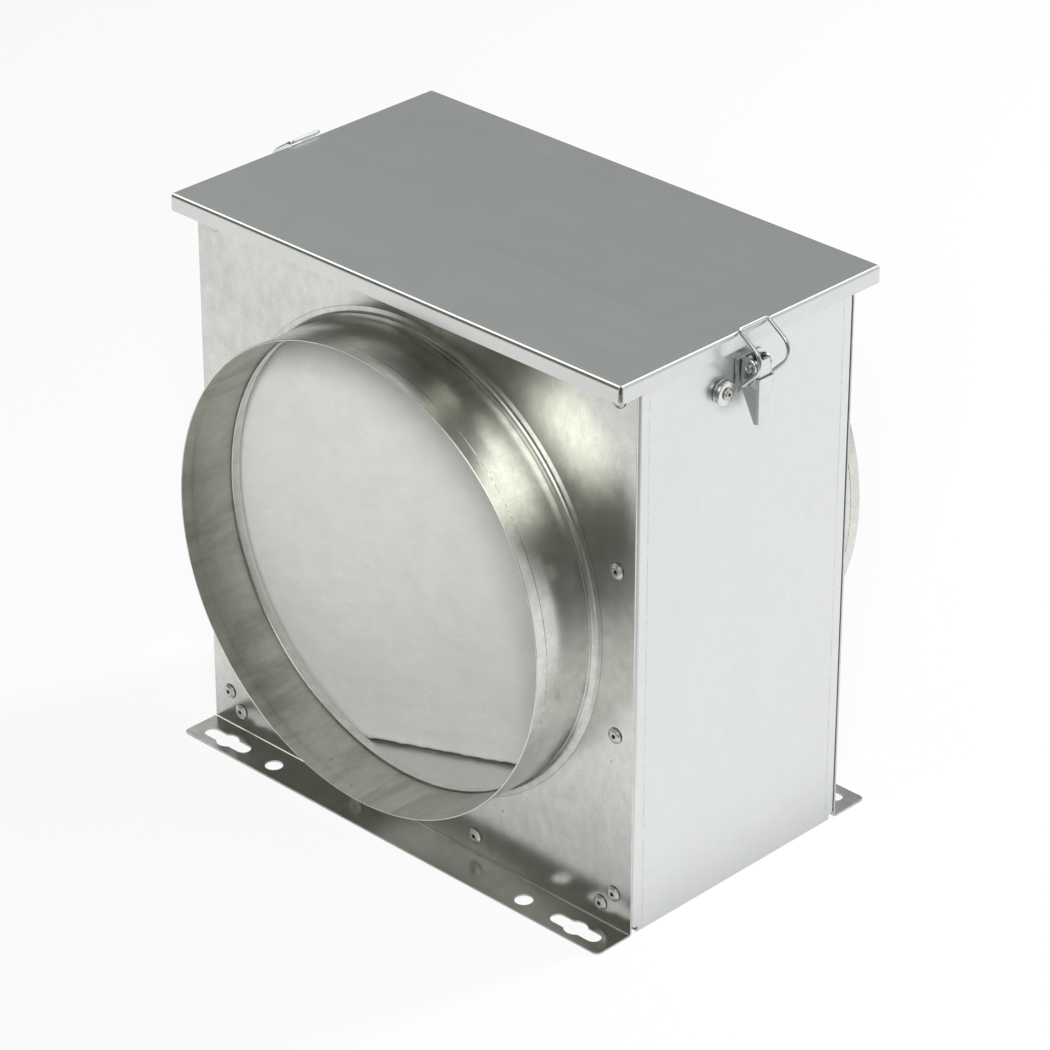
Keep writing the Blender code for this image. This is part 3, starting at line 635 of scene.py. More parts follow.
def prism(outlines, low, high):
    # flat outlines in XY, the first around the others, raised from low to high
    def clean(shape):
        bmesh.ops.remove_doubles(shape, verts=shape.verts, dist=1e-6)
        bmesh.ops.translate(shape, verts=shape.verts, vec=(0, 0, (low + high) / 2))
        flat = [e for e in shape.edges if len(e.link_faces) == 2 and e.calc_face_angle() < 1e-4]
        bmesh.ops.dissolve_edges(shape, edges=flat, use_verts=False)

    mesh = curveMesh(outlines, True, dimensions="2D", fill_mode="BOTH", extrude=(high - low) / 2)
    return remade(mesh, clean)


def skin(shape, loops, closed=True):
    # each loop of points joined to the next, the last to the first
    count = len(loops[0])
    for one, two in zip(loops, loops[1:] + loops[:1]):
        for i in range(count if closed else count - 1):
            j = (i + 1) % count
            shape.faces.new((one[i], two[i], two[j], one[j]))


def lathe(profile, steps, closed=True):
    # profile of (radius, height) turned about Z
    shape = bmesh.new()
    rings = []
    for step in range(steps):
        turn = 2 * math.pi * step / steps
        rings.append([shape.verts.new((r * math.cos(turn), r * math.sin(turn), h)) for r, h in profile])
    skin(shape, rings, closed)
    bmesh.ops.remove_doubles(shape, verts=shape.verts, dist=1e-7)
    bmesh.ops.dissolve_degenerate(shape, edges=shape.edges, dist=1e-8)
    faceOut(shape)
    mesh = meshOf(shape, "turned")
    smooth(mesh, 40)
    return mesh


def bothWays(values):
    return values + [-v for v in reversed(values)]


def foldSheet(columns, rows, keep, fold, radius, offset, corners=()):
    # a blank cut from a grid of columns and rows, folded up and given its thickness
    blank = bmesh.new()
    across, along = len(columns) - 1, len(rows) - 1
    bmesh.ops.create_grid(blank, x_segments=across, y_segments=along, size=0.5)
    place = {v: (round((v.co.x + 0.5) * across), round((v.co.y + 0.5) * along)) for v in blank.verts}
    waste = []
    for face in blank.faces:
        low = [min(place[v][axis] for v in face.verts) for axis in (0, 1)]
        if not keep(*low):
            waste.append(face)
    for vert, (i, j) in place.items():
        vert.co = fold(columns[i], rows[j])
    rounded = {size: [v for v, cell in place.items() if cell in cells] for size, cells in corners}
    bmesh.ops.delete(blank, geom=waste, context="FACES")
    for size, verts in rounded.items():
        roundOff(blank, verts, size, 6, "VERTICES")
    creases = [e for e in blank.edges if len(e.link_faces) == 2 and e.calc_face_angle() > 0.5]
    roundOff(blank, creases, radius, 7, "EDGES")
    piece = addObject("folded", meshOf(blank, "folded"))
    made = modified(piece, "SOLIDIFY", thickness=sheet["thickness"], offset=offset, use_even_offset=True).data
    bpy.data.objects.remove(piece, do_unlink=True)
    return made


def handOver(piece, body, slot, *nodes):
    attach(piece, body)
    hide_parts(*nodes)
    return piece


sheet = millimetres({"thickness": 1.0, "gap": 0.3, "bend": 2.0, "edge": 0.15})
box = millimetres({"halfLength": 150.0, "halfDepth": 75.0, "height": 301.0})


# casing: one sheet for the floor and both end walls, with seam flanges turned in
casing = millimetres({"flange": 16.5, "seamGap": 0.6, "notch": 4.0})


def makeCasing():
    halfLength, halfDepth, up = box["halfLength"], box["halfDepth"], box["height"]
    seam, notch = casing["flange"], casing["notch"]
    columns = bothWays([-halfLength - up, -halfLength - notch, -halfLength, -halfLength + notch])
    rows = bothWays([-halfDepth - seam, -halfDepth, -halfDepth + notch])

    def fold(u, v):
        side = math.copysign(1, u)
        turnedIn = max(abs(v) - halfDepth, 0)
        y = math.copysign(min(abs(v), halfDepth), v)
        mitre = seam + casing["seamGap"] - notch if turnedIn else 0
        if abs(u) > halfLength:
            height = abs(u) - halfLength
            height += mitre if height < up / 2 else 0
            return Vector((side * (halfLength - turnedIn), y, height))
        return Vector((side * (abs(u) - mitre), y, turnedIn))

    mesh = foldSheet(columns, rows, lambda c, r: r == 2 or c in (0, 3, 6), fold, sheet["bend"], 1)
    wrap = standPiece("casingWrap", mesh, wallSteel)
    breakEdges(wrap, sheet["edge"])
    handOver(wrap, "casing", "galvanised_sheet", "casing_wrap")


makeCasing()


# front and rear panels, with slotted feet and a shelf under the lid
panel = millimetres({
    "face": 76.3,
    "halfWidth": 149.7,
    "footDepth": 23.4,
    "footCorner": 3.0,
    "shelf": 13.5,
    "shelfCorner": 1.5,
    "bore": 129.06,
    "boreFrom": 60.0,
    "boreTo": 100.0,
    "axisHeight": 155.4,
    "holeLine": 90.0,
    "slotX": 126.0,
    "slotLength": 32.0,
    "slotWidth": 8.0,
    "slotEye": 12.2,
    "holeX": 90.5,
    "hole": 9.5,
    "punch": 6.0,
})


def slotOutline(x, y):
    half, eye = panel["slotWidth"] / 2, panel["slotEye"] / 2
    reach = panel["slotLength"] / 2 - half
    lift = math.asin(half / eye)
    outline = arc((x + reach, y), half, -math.pi / 2, math.pi / 2, 14)
    outline += arc((x, y), eye, lift, math.pi - lift, 14)
    outline += arc((x - reach, y), half, math.pi / 2, 3 * math.pi / 2, 14)
    outline += arc((x, y), eye, math.pi + lift, 2 * math.pi - lift, 14)
    return outline


def makePanel(side, facing):
    face, thick, punch = panel["face"], sheet["thickness"], panel["punch"]
    low, high = thick, box["height"] - thick
    path = [(face + panel["footDepth"], low), (face, low), (face, high), (face + panel["shelf"], high)]
    corners = (
        (panel["footCorner"], ((0, 0), (1, 0))),
        (panel["shelfCorner"], ((0, 3), (1, 3))),
    )
    mesh = foldSheet(
        [-panel["halfWidth"], panel["halfWidth"]],
        [0, 1, 2, 3],
        lambda c, r: True,
        lambda u, v: Vector((-facing * u, facing * path[v][0], path[v][1])),
        sheet["bend"] - thick,
        -1,
        corners,
    )
    plate = standPiece(side + "Panel", mesh, panelSteel)
    line, axis = facing * panel["holeLine"], panel["axisHeight"]
    start, stop = ((0, facing * panel[end], axis) for end in ("boreFrom", "boreTo"))
    tools = [rod(start, stop, panel["bore"], 160)]
    for x in (-1, 1):
        tools.append(prism([slotOutline(x * panel["slotX"], line)], -punch, punch))
        hole = x * panel["holeX"]
        tools.append(rod((hole, line, -punch), (hole, line, punch), panel["hole"] / 2, 40))
    carve(plate, joined(tools))
    breakEdges(plate, sheet["edge"])
    handOver(plate, "casing", "galvanised_sheet", side + "_panel")


# spigots: a tube with a creased rim, pushed over a collar that rolls out to the panel
spigot = millimetres({
    "radius": 124.5,
    "wall": 0.8,
    "reach": 40.0,
    "land": 6.8,
    "swage": 0.4,
    "crease": 0.16,
    "creaseReach": 3.0,
    "swageReach": 7.0,
    "collarReach": 6.9,
    "roll": 4.1,
    "flare": 4.5,
    "bend": 3.1,
    "lip": 2.4,
    "round": 0.22,
    "slit": 0.03,
})
spigotCone = math.radians(10.0)
spigotSteps = 256


def turnDuct(name, profile, coat, facing, cadName):
    mesh = lathe(profile, spigotSteps)
    turn = Matrix.Rotation(-facing * math.pi / 2, 4, "X")
    mesh.transform(Matrix.Translation((0, facing * panel["face"], panel["axisHeight"])) @ turn)
    handOver(standPiece(name, mesh, coat), "casing", "spigot_steel", cadName)


def makeSpigot(side, facing):
    outer, inner = spigot["radius"], spigot["radius"] - spigot["wall"]
    reach, swage, edge, crease = spigot["reach"], spigot["swage"], spigot["round"], spigot["crease"]
    land, end = reach - spigot["land"], spigot["roll"] + spigot["slit"]
    near, far = spigot["creaseReach"], spigot["swageReach"]
    profile = [
        (outer + swage - edge, reach),
        (outer + swage, reach - edge),
        (outer + 0.8 * swage, land + near),
        (outer + 0.55 * swage, land + crease),
        (outer + 0.45 * swage - crease, land),
        (outer + 0.4 * swage, land - crease),
        (outer + 0.15 * swage, land - near),
        (outer, land - far),
        (outer, end + edge),
        (outer - 0.5 * edge, end),
        (inner + 0.5 * edge, end),
        (inner, end + edge),
        (inner, land - far),
        (inner + 0.15 * swage, land - near),
        (inner + 0.40 * swage, land - crease),
        (inner + 0.55 * swage, land + crease),
        (inner + 0.8 * swage, land + near),
        (inner + swage, reach - edge),
        (inner + swage + edge, reach),
    ]
    turnDuct(side + "Spigot", profile, ductSteel, facing, side + "_spigot")


def makeSpigotRoot(side, facing):
    wide, roll, reach, edge = spigot["wall"], spigot["roll"], spigot["collarReach"], spigot["round"]
    inside = -sheet["thickness"] - sheet["gap"]
    neck = spigot["radius"] + spigot["flare"]
    foot = spigot["radius"] - wide - spigot["slit"]

    def rolled(bend, start, outline):
        # cone from the panel's face, turned into the tube's line
        centre = start + bend
        touch = centre - bend * math.sin(spigotCone)
        lift = (neck - touch) * math.tan(spigotCone) + bend * math.cos(spigotCone) - outline
        return arc((centre, lift), bend, math.pi, 1.5 * math.pi - spigotCone, 8)

    profile = [(foot - edge, reach), (foot, reach - edge), (foot, roll)]
    profile += rolled(spigot["bend"], spigot["radius"] - 0.5 * spigot["slit"], 0)
    profile += [(neck, 0), (neck, inside), (neck + spigot["lip"], inside)]
    profile += [(neck + spigot["lip"], inside - wide), (neck - wide, inside - wide)]
    profile += reversed(rolled(spigot["bend"] + wide, foot - wide, wide))
    profile += [(foot - wide, reach - edge), (foot - wide + edge, reach)]
    turnDuct(side + "SpigotRoot", profile, rolledSteel, facing, side + "_spigot_root")


for side, facing in (("front", -1), ("rear", 1)):
    makePanel(side, facing)
    makeSpigot(side, facing)
    makeSpigotRoot(side, facing)
print("casing, panels and spigots folded")


# lid: shallow tray with open corner seams
lid = millimetres({
    "top": 306.6,
    "halfLength": 153.2,
    "halfDepth": 91.3,
    "skirt": 8.8,
    "bend": 1.9,
    "seam": 1.6,
})


def makeLid():
    halfLength, halfDepth, drop, seam = lid["halfLength"], lid["halfDepth"], lid["skirt"], lid["seam"]
    columns = bothWays([-halfLength - drop, -halfLength, -halfLength + seam])
    rows = bothWays([-halfDepth - drop, -halfDepth, -halfDepth + seam])

    def fold(u, v):
        x = math.copysign(min(abs(u), halfLength), u)
        y = math.copysign(min(abs(v), halfDepth), v)
        down = max(abs(u) - halfLength, abs(v) - halfDepth, 0)
        return Vector((x, y, lid["top"] - down))

    mesh = foldSheet(columns, rows, lambda c, r: r == 2 or c == 2, fold, lid["bend"], -1)
    tray = standPiece("lidCover", mesh, lidSteel)
    breakEdges(tray, sheet["edge"])
    handOver(tray, "lid", "lid_steel", "lid")


makeLid()


# foam seal under the lid: a soft strip swept round the rim
seal = millimetres({
    "low": 301.3,
    "high": 305.3,
    "halfLength": 151.6,
    "halfDepth": 89.7,
    "width": 12.5,
    "round": 1.1,
    "pitch": 3.0,
    "unevenness": 0.12,
    "sag": 0.1,
    "lift": 0.05,
})


def makeSeal():
    tall, wide = seal["high"] - seal["low"], seal["width"]
    section = roundCorners(((0, 0), (wide, 0), (wide, tall), (0, tall)), [seal["round"]] * 4, 4)
    ring = []
    ends = [(-1, -1), (1, -1), (1, 1), (-1, 1)]
    for (ax, ay), (bx, by) in zip(ends, ends[1:] + ends[:1]):
        half = seal["halfLength"] if ay == by else seal["halfDepth"]
        count = round(2 * half / seal["pitch"])
        ring += [(ax + (bx - ax) * i / count, ay + (by - ay) * i / count) for i in range(count)]
    shape = bmesh.new()
    loops = []
    for u, v in ring:
        loop = []
        for inset, rise, _ in section:
            x, y = u * (seal["halfLength"] - inset), v * (seal["halfDepth"] - inset)
            spot = Vector((x, y, seal["low"] + rise))
            give = noise.noise(spot * 140) * seal["unevenness"]
            hang = 0.5 + 0.5 * math.cos(math.pi * rise / tall)  # the glued top stays flat
            lift = max(give, -seal["sag"]) * hang * 0.5 + seal["lift"] * hang
            loop.append(shape.verts.new(spot + Vector((0, 0, lift))))
        loops.append(loop)
    skin(shape, loops)
    faceOut(shape)
    mesh = meshOf(shape, "lidSeal")
    smooth(mesh, 50)
    strip = standPiece("lidSeal", mesh, sealFoam)
    handOver(strip, "lid", "seal_foam", "lid_gasket")


makeSeal()
print("lid and seal made")


# filter: fleece on a wire support, in guides, standing across the box
filterAngle = math.atan2(70.0, 150.0)
fleece = millimetres({
    "half": 160.9,
    "front": -3.9,
    "rear": 4.1,
    "low": 1.3,
    "high": 297.0,
    "cell": 1.7,
    "edgeRound": 2.4,
    "crown": 0.9,
    "wave": 0.7,
    "nap": 0.22,
    "fray": 0.5,
    "tufts": 1.3,
    "tuftReach": 5.0,
    "heldEdge": 20.0,
    "sideFade": 30.0,  # the swell starts over this much of the width and of the height
    "footFade": 15.0,
    "tuftFade": 10.0,
})


def upTo(value):
    return min(1.0, max(0.0, value))


def fleecePoint(side, depth, a, z):
    half, low, high = fleece["half"], fleece["low"], fleece["high"]
    middle = (fleece["front"] + fleece["rear"]) / 2
    fromEnd = half - abs(a)
    inset = min(fromEnd, z - low, high - z)
    turned = max(0.0, 1 - inset / fleece["edgeRound"])
    thin = 1 - (1 - math.sqrt(max(0.0, 1 - turned * turned))) * 0.55
    n = middle + (depth - middle) * thin
    free = upTo((fromEnd - fleece["heldEdge"]) / fleece["sideFade"])
    free *= min(1.0, (z - low) / fleece["footFade"]) if side < 0 else 0.0
    spot = Vector((a, side * 0.05, z))
    swell = fleece["crown"] * free + fleece["wave"] * free * noise.noise(spot * 26)
    nap = fleece["nap"] * (noise.noise(spot * 210) + 0.6 * noise.noise(spot * 480))
    n += side * (swell + min(nap, 0.0) + max(nap, 0.0) * free)
    if side < 0:  # tufts hang forward along the foot
        clear = upTo((fromEnd - fleece["heldEdge"]) / fleece["tuftFade"])
        foot = max(0.0, 1 - (z - low) / fleece["tuftReach"]) * clear
        n -= foot * fleece["tufts"] * max(0.0, 0.35 + noise.noise(Vector((a * 210, 7.0, z * 300))))
    if inset == fromEnd and turned == 1:  # frayed ends
        a += math.copysign(fleece["fray"] * (noise.noise(spot * 330) - 1) * 0.5, a)
    if z - low < 1e-9:  # ragged lower edge
        tuft = 0.5 + 0.8 * noise.noise(Vector((a * 230, side, 0.5)))
        z += 0.5 * fleece["tufts"] * upTo(tuft + 0.4 * noise.noise(Vector((a * 90, side, 4.0))))
    return a, n, z


def makeFleece():
    half, low, high = fleece["half"], fleece["low"], fleece["high"]
    across, up = round(2 * half / fleece["cell"]), round((high - low) / fleece["cell"])
    shape = bmesh.new()
    faces = {}
    for side, depth in ((-1, fleece["front"]), (1, fleece["rear"])):
        for i in range(across + 1):
            for j in range(up + 1):
                a, z = -half + 2 * half * i / across, low + (high - low) * j / up
                faces[side, i, j] = shape.verts.new(fleecePoint(side, depth, a, z))
    for i in range(across):
        for j in range(up):
            quad = [(i, j), (i + 1, j), (i + 1, j + 1), (i, j + 1)]
            shape.faces.new([faces[-1, *c] for c in quad])
            shape.faces.new([faces[1, *c] for c in reversed(quad)])
    rim = [(i, 0) for i in range(across)] + [(across, j) for j in range(up)]
    rim += [(i, up) for i in range(across, 0, -1)] + [(0, j) for j in range(up, 0, -1)]
    for one, two in zip(rim, rim[1:] + rim[:1]):
        shape.faces.new((faces[-1, *two], faces[-1, *one], faces[1, *one], faces[1, *two]))
    faceOut(shape)
    bmesh.ops.transform(shape, matrix=Matrix.Rotation(filterAngle, 4, "Z"), verts=shape.verts)
    mesh = meshOf(shape, "filterFleece")
    mesh.shade_smooth()
    pad = standPiece("filterFleece", mesh, filterFleece)
    handOver(pad, "filter_insert", "filter_fleece", "filter_pad")


makeFleece()
print("fleece laid")


# geometry node trees
def growTree(name, inputs):
    tree = bpy.data.node_groups.new(name, "GeometryNodeTree")
    tree.interface.new_socket(name="Geometry", in_out="INPUT", socket_type="NodeSocketGeometry")
    for label, kind in inputs.items():
        tree.interface.new_socket(name=label, in_out="INPUT", socket_type="NodeSocket" + kind)
    tree.interface.new_socket(name="Geometry", in_out="OUTPUT", socket_type="NodeSocketGeometry")
    return tree, node(tree, "NodeGroupInput").outputs


def grow(tree, kind, inputs, **settings):
    return node(tree, "GeometryNode" + kind, inputs, **settings).outputs[0]


def closeTree(tree, geometry, coat):
    real = grow(tree, "RealizeInstances", {"Geometry": geometry})
    node(tree, "NodeGroupOutput", {"Geometry": grow(tree, "SetMaterial", {"Geometry": real, "Material": coat})})
    return tree


def growPiece(name, places, tree, sizes, coat, **attributes):
    mesh = bpy.data.meshes.new(name)
    mesh.from_pydata(places, [], [])
    for label, values in attributes.items():
        drawn = mesh.attributes.new(label, "FLOAT_VECTOR", "POINT")
        for item, value in zip(drawn.data, values):
            item.vector = value
    piece = standPiece(name, mesh, coat)
    grown = piece.modifiers.new("grown", "NODES")
    grown.node_group = tree
    given = {**sizes, "Finish": coat}
    for item in tree.interface.items_tree:
        if item.in_out == "INPUT" and item.name in given:
            grown[item.identifier] = given[item.name]
    settle(piece)
    piece.data.materials.clear()
    piece.data.materials.append(coat)
    return piece


# blind rivet: a grid rolled up by angle and by a turned profile, set on points along their aim
rivetShape = {
    # share of head radius and height, then share of shank radius and depth
    "head": (
        (0.0, 0.35), (0.21, 0.35), (0.24, 0.86), (0.32, 0.96), (0.45, 1.0), (0.60, 0.94),
        (0.73, 0.78), (0.81, 0.58), (0.85, 0.46), (0.955, 0.42), (1.0, 0.27), (0.99, 0.0),
    ),
    "shank": ((1.0, 0.0), (1.0, 0.4), (1.35, 0.55), (1.05, 0.95), (0.0, 1.0)),
    "around": 40,
    "shankRadius": 2.0 * mm,
    "hollowRows": (1.6, 2.6),  # rows of the profile between which each mark fades
    "grimeRows": (9.2, 10.0),
}


def profileCurve(along, values):
    shaped = node(along.id_data, "ShaderNodeFloatCurve", {"Value": along})
    line = shaped.mapping.curves[0]
    shaped.mapping.use_clip = False
    line.points[0].location = (0, values[0])
    line.points[1].location = (1, values[-1])
    for i, value in enumerate(values[1:-1], 1):
        line.points.new(i / (len(values) - 1), value)
    for point in line.points:
        point.handle_type = "VECTOR"
    shaped.mapping.update()
    return shaped.outputs[0]


def rivetTree():
    sizes = ("Head Radius", "Head Height", "Shank Radius", "Depth")
    inputs = {**dict.fromkeys(sizes, "Float"), "Around": "Int", "Finish": "Material"}
    tree, given = growTree("blindRivets", inputs)
    head, shank = rivetShape["head"], rivetShape["shank"]
    count = len(head) + len(shank)
    flat = {"Vertices X": given["Around"], "Vertices Y": count, "Size X": 1.0, "Size Y": 1.0}
    marked = grow(tree, "MeshGrid", flat)
    spot = split(node(tree, "GeometryNodeInputPosition").outputs[0])
    turn = times(plus(spot["X"], 0.5), 2 * math.pi)
    along = plus(spot["Y"], 0.5)
    headOut, headUp = (profileCurve(along, [p[i] for p in head] + [0.0] * len(shank)) for i in (0, 1))
    shankOut, shankDown = (profileCurve(along, [0.0] * len(head) + [p[i] for p in shank]) for i in (0, 1))
    out = plus(times(headOut, given["Head Radius"]), times(shankOut, given["Shank Radius"]))
    rise = minus(times(headUp, given["Head Height"]), times(shankDown, given["Depth"]))
    place = combine(times(out, maths("COSINE", turn)), times(out, maths("SINE", turn)), rise)
    # marks for the painted shade down the hole, and for the grime and painted contact shadow round the foot of the
    # head
    for name, ends in (("hollow", (1.0, 0.0)), ("grime", (0.0, 1.0))):
        start, stop = (row / (count - 1) for row in rivetShape[name + "Rows"])
        inputs = {"Geometry": marked, "Name": name, "Value": spread(along, start, stop, *ends)}
        marked = grow(tree, "StoreNamedAttribute", inputs, data_type="FLOAT", domain="POINT")
    rolled = grow(tree, "SetPosition", {"Geometry": marked, "Position": place})
    closed = grow(tree, "MergeByDistance", {"Geometry": rolled, "Distance": 1e-6})
    rounded = grow(tree, "SetShadeSmooth", {"Geometry": closed})
    aim = grow(tree, "InputNamedAttribute", {"Name": "aim"}, data_type="FLOAT_VECTOR")
    facing = node(tree, "FunctionNodeAlignRotationToVector", {"Vector": aim}, axis="Z").outputs[0]
    inputs = {"Min": 0.0, "Max": 6.28, "Seed": 4}
    spun = node(tree, "FunctionNodeRandomValue", inputs, data_type="FLOAT").outputs["Value"]
    own = node(tree, "FunctionNodeAxisAngleToRotation", {"Axis": (0, 0, 1), "Angle": spun}).outputs[0]
    inputs = {"Rotation": facing, "Rotate By": own}
    facing = node(tree, "FunctionNodeRotateRotation", inputs, rotation_space="LOCAL").outputs[0]
    points = grow(tree, "MeshToPoints", {"Mesh": given["Geometry"]})
    inputs = {"Points": points, "Instance": rounded, "Rotation": facing}
    return closeTree(tree, grow(tree, "InstanceOnPoints", inputs), given["Finish"])


rivets = rivetTree()
rivetPlan = {
    "sideX": 138.2 * mm,
    "sideHeights": [h * mm for h in (20, 110, 200, 290)],
    "floorHeight": 11.0 * mm,
    "floorX": [x * mm for x in (-129.6, -43.2, 43.2, 129.6)],
    "latchOut": 151.1 * mm,
    "latchHeights": [h * mm for h in (287.8, 278.3)],
    "latchAside": 1.2 * mm,
    "large": millimetres({"Head Radius": 4.2, "Head Height": 1.6, "Depth": 5.8}),
    "small": millimetres({"Head Radius": 3.2, "Head Height": 1.6, "Depth": 5.6}),
}


def rivetRow(name, rows, sizes, coat):
    # each row is a node, its place and the way its head faces
    nodes, places, aims = zip(*rows)
    sizes = {"Shank Radius": rivetShape["shankRadius"], "Around": rivetShape["around"], **sizes}
    piece = growPiece(name, places, rivets, sizes, coat, aim=aims)
    smooth(remade(piece.data, faceOut), 48)
    handOver(piece, "casing", "rivet_aluminium", *nodes)


def makeRivets():
    spots = [(x * rivetPlan["sideX"], z) for x in (-1, 1) for z in rivetPlan["sideHeights"]]
    spots += [(x, rivetPlan["floorHeight"]) for x in rivetPlan["floorX"]]
    rows = []
    for side, facing in (("front", -1), ("rear", 1)):
        for number, (x, z) in enumerate(spots, 1):
            rows.append((f"{side}_rivet_{number:02d}", (x, facing * panel["face"], z), (0, facing, 0)))
    rivetRow("panelRivets", rows, rivetPlan["large"], rivetAluminium)
    rows = []
    for side, out in (("right", 1), ("left", -1)):
        for number, height in enumerate(rivetPlan["latchHeights"], 1):
            place = (out * rivetPlan["latchOut"], -out * rivetPlan["latchAside"], height)
            rows.append((f"{side}_latch_rivet_{number}", place, (out, 0, 0)))
    rivetRow("latchRivets", rows, rivetPlan["small"], rivetAluminium)


makeRivets()
print("rivets set")


# welded wire support: uprights and crossbars on two lines of points
wireGrid = millimetres({"wire": 2.0, "half": 152.38, "near": 5.4, "far": 7.0, "edge": 8.0})
wireCounts = {"Uprights": 6, "Crossbars": 6}


def wireGridTree():
    sizes = ("Half Length", "Low", "High", "Wire", "Near", "Far", "Edge", "Angle")
    inputs = {**dict.fromkeys(sizes, "Float"), **dict.fromkeys(wireCounts, "Int"), "Finish": "Material"}
    tree, given = growTree("weldedWires", inputs)
    near, far, edge = given["Near"], given["Far"], given["Edge"]
    radius = times(given["Wire"], 0.5)
    low, high = plus(given["Low"], radius), minus(given["High"], radius)
    half = minus(given["Half Length"], radius)
    middle = times(plus(low, high), 0.5)
    halfRow = minus(half, edge)
    upright = ((times(halfRow, -1.0), near, middle), (halfRow, near, middle))
    crossbar = ((0.0, far, plus(low, edge)), (0.0, far, minus(high, edge)))
    both = node(tree, "GeometryNodeJoinGeometry")
    for (start, stop), count, length, turn in (
        (upright, "Uprights", minus(high, low), (0, 0, 0)),
        (crossbar, "Crossbars", times(half, 2.0), (0, math.pi / 2, 0)),
    ):
        row = {"Count": given[count], "Start Location": combine(*start), "Offset": combine(*stop)}
        line = grow(tree, "MeshLine", row, mode="END_POINTS")
        stick = {"Vertices": 14, "Side Segments": 1, "Radius": radius, "Depth": length}
        laid = grow(tree, "Transform", {"Geometry": grow(tree, "MeshCylinder", stick), "Rotation": turn})
        wires = grow(tree, "InstanceOnPoints", {"Points": line, "Instance": laid})
        tree.links.new(wires, both.inputs[0])
    lean = combine(0.0, 0.0, given["Angle"])
    stood = grow(tree, "Transform", {"Geometry": both.outputs[0], "Rotation": lean})
    return closeTree(tree, stood, given["Finish"])


def makeWireGrid():
    sizes = {
        "Half Length": wireGrid["half"],
        "Low": fleece["low"],
        "High": fleece["high"],
        "Wire": wireGrid["wire"],
        "Near": wireGrid["near"],
        "Far": wireGrid["far"],
        "Edge": wireGrid["edge"],
        "Angle": filterAngle,
        **wireCounts,
    }
    wires = growPiece("filterWires", [(0, 0, 0)], wireGridTree(), sizes, latchZinc)
    smooth(wires.data, 50)
    handOver(wires, "filter_insert", "zinc_plate", "filter_grid")


makeWireGrid()


# guides on the end walls
guide = millimetres({
    "wall": 148.7,
    "sheet": 0.8,
    "lip": 18.0,
    "low": 2.3,
    "high": 291.0,
    "end": 72.7,
    "gap": 0.3,
    "outerBend": 0.9,
    "innerBend": 0.3,
    "edge": 0.12,
})


def makeGuide(name, side, cadName):
    sine, cosine = math.sin(filterAngle), math.cos(filterAngle)
    gridRear = wireGrid["far"] + wireGrid["wire"] / 2
    near = gridRear + guide["gap"] if side < 0 else fleece["front"] - guide["gap"]
    away = near - side * guide["sheet"]
    tip = side * (guide["wall"] - guide["lip"]) / cosine

    def plan(along, ahead):
        return Vector((along * cosine - ahead * sine, along * sine + ahead * cosine, 0))

    def atWall(ahead, inset):
        return plan((side * (guide["wall"] - inset) + ahead * sine) / cosine, ahead)

    back, end = side * guide["wall"], side * guide["end"]
    outline = [plan(tip, away), atWall(away, 0), (back, end)]
    outline += [(back - side * guide["sheet"], end), atWall(near, guide["sheet"]), plan(tip, near)]
    outline = roundCorners(outline, [0, guide["outerBend"], 0, 0, guide["innerBend"], 0], 4)
    channel = standPiece(name, prism([outline], guide["low"], guide["high"]), wallSteel)
    breakEdges(channel, guide["edge"])
    handOver(channel, "casing", "galvanised_sheet", cadName)


makeGuide("leftGuide", -1, "filter_guide_left")
makeGuide("rightGuide", 1, "filter_guide_right")
print("filter wires and guides made")


# toggle latches
latch = millimetres({
    "aside": 1.2,
    "pivotOut": 6.0,
    "pivotHeight": 287.8,
    "hookHeight": 279.8,
    "pin": 1.5,
    "pinHead": 2.4,
    "pinHeadTall": 0.6,
    "dimple": 1.0,
    "dimpleDeep": 0.5,
    "dimpleEdge": 0.05,
    "plate": 18.0,
    "baseSheet": 0.8,
    "ear": 4.7,
    "web": 11.2,
    "earBend": 0.5,
    "webBend": 1.3,
    "wellBend": 0.6,
    "baseLow": 273.8,
    "baseHigh": 291.8,
    "width": 12.0,
    "front": 12.6,
    "leverSheet": 1.0,
    "leverBend": 1.2,
    "channelBend": 0.5,
    "length": 28.0,
    "lobe": 4.3,
    "notch": 4.8,
    "cheek": 10.8,
    "tip": 2.4,
    "wire": 1.0,
    "bailHalf": 10.0,
    "barOut": 3.0,
    "barHeight": 307.9,
    "hookBend": 1.6,
    "bowBend": 8.5,
    "barBend": 2.2,
    "edge": 0.14,
})


def latchPlace(turn):
    return Matrix.Rotation(turn, 4, "Z") @ Matrix.Translation((box["halfLength"], -latch["aside"], 0))


def sidewise():
    # outlines drawn as (out, up) stand on edge across the latch
    return Matrix.Translation((latch["pivotOut"], 0, latch["pivotHeight"])) @ Matrix.Rotation(math.pi / 2, 4, "X")


def makeLatchBase(side, turn):
    gap, ear, web, wide = sheet["gap"], latch["ear"], latch["web"], latch["plate"] / 2
    plate = gap + latch["baseSheet"]
    outline = [(gap, -wide), (plate, -wide), (plate, -ear), (web, -ear)]
    outline += [(x, -y) for x, y in reversed(outline)]
    bends = [0, 0, latch["earBend"], latch["webBend"]]
    outline = roundCorners(outline, bends + bends[::-1], 6)
    well, deep = ear - latch["baseSheet"], web - latch["baseSheet"]
    hollow = [(plate, -well), (deep, -well), (deep, well), (plate, well)]
    hollow = roundCorners(hollow, [0, latch["wellBend"], latch["wellBend"], 0], 5)
    mesh = prism([outline, hollow], latch["baseLow"], latch["baseHigh"])
    base = standPiece(side + "LatchBase", mesh, latchZinc)
    start, stop = ((latch["pivotOut"], y, latch["pivotHeight"]) for y in (-wide, wide))
    carve(base, rod(start, stop, latch["pin"] + gap, 24))
    breakEdges(base, latch["edge"])
    base.data.transform(latchPlace(turn))
    handOver(base, "casing", "zinc_plate", side + "_latch_base")


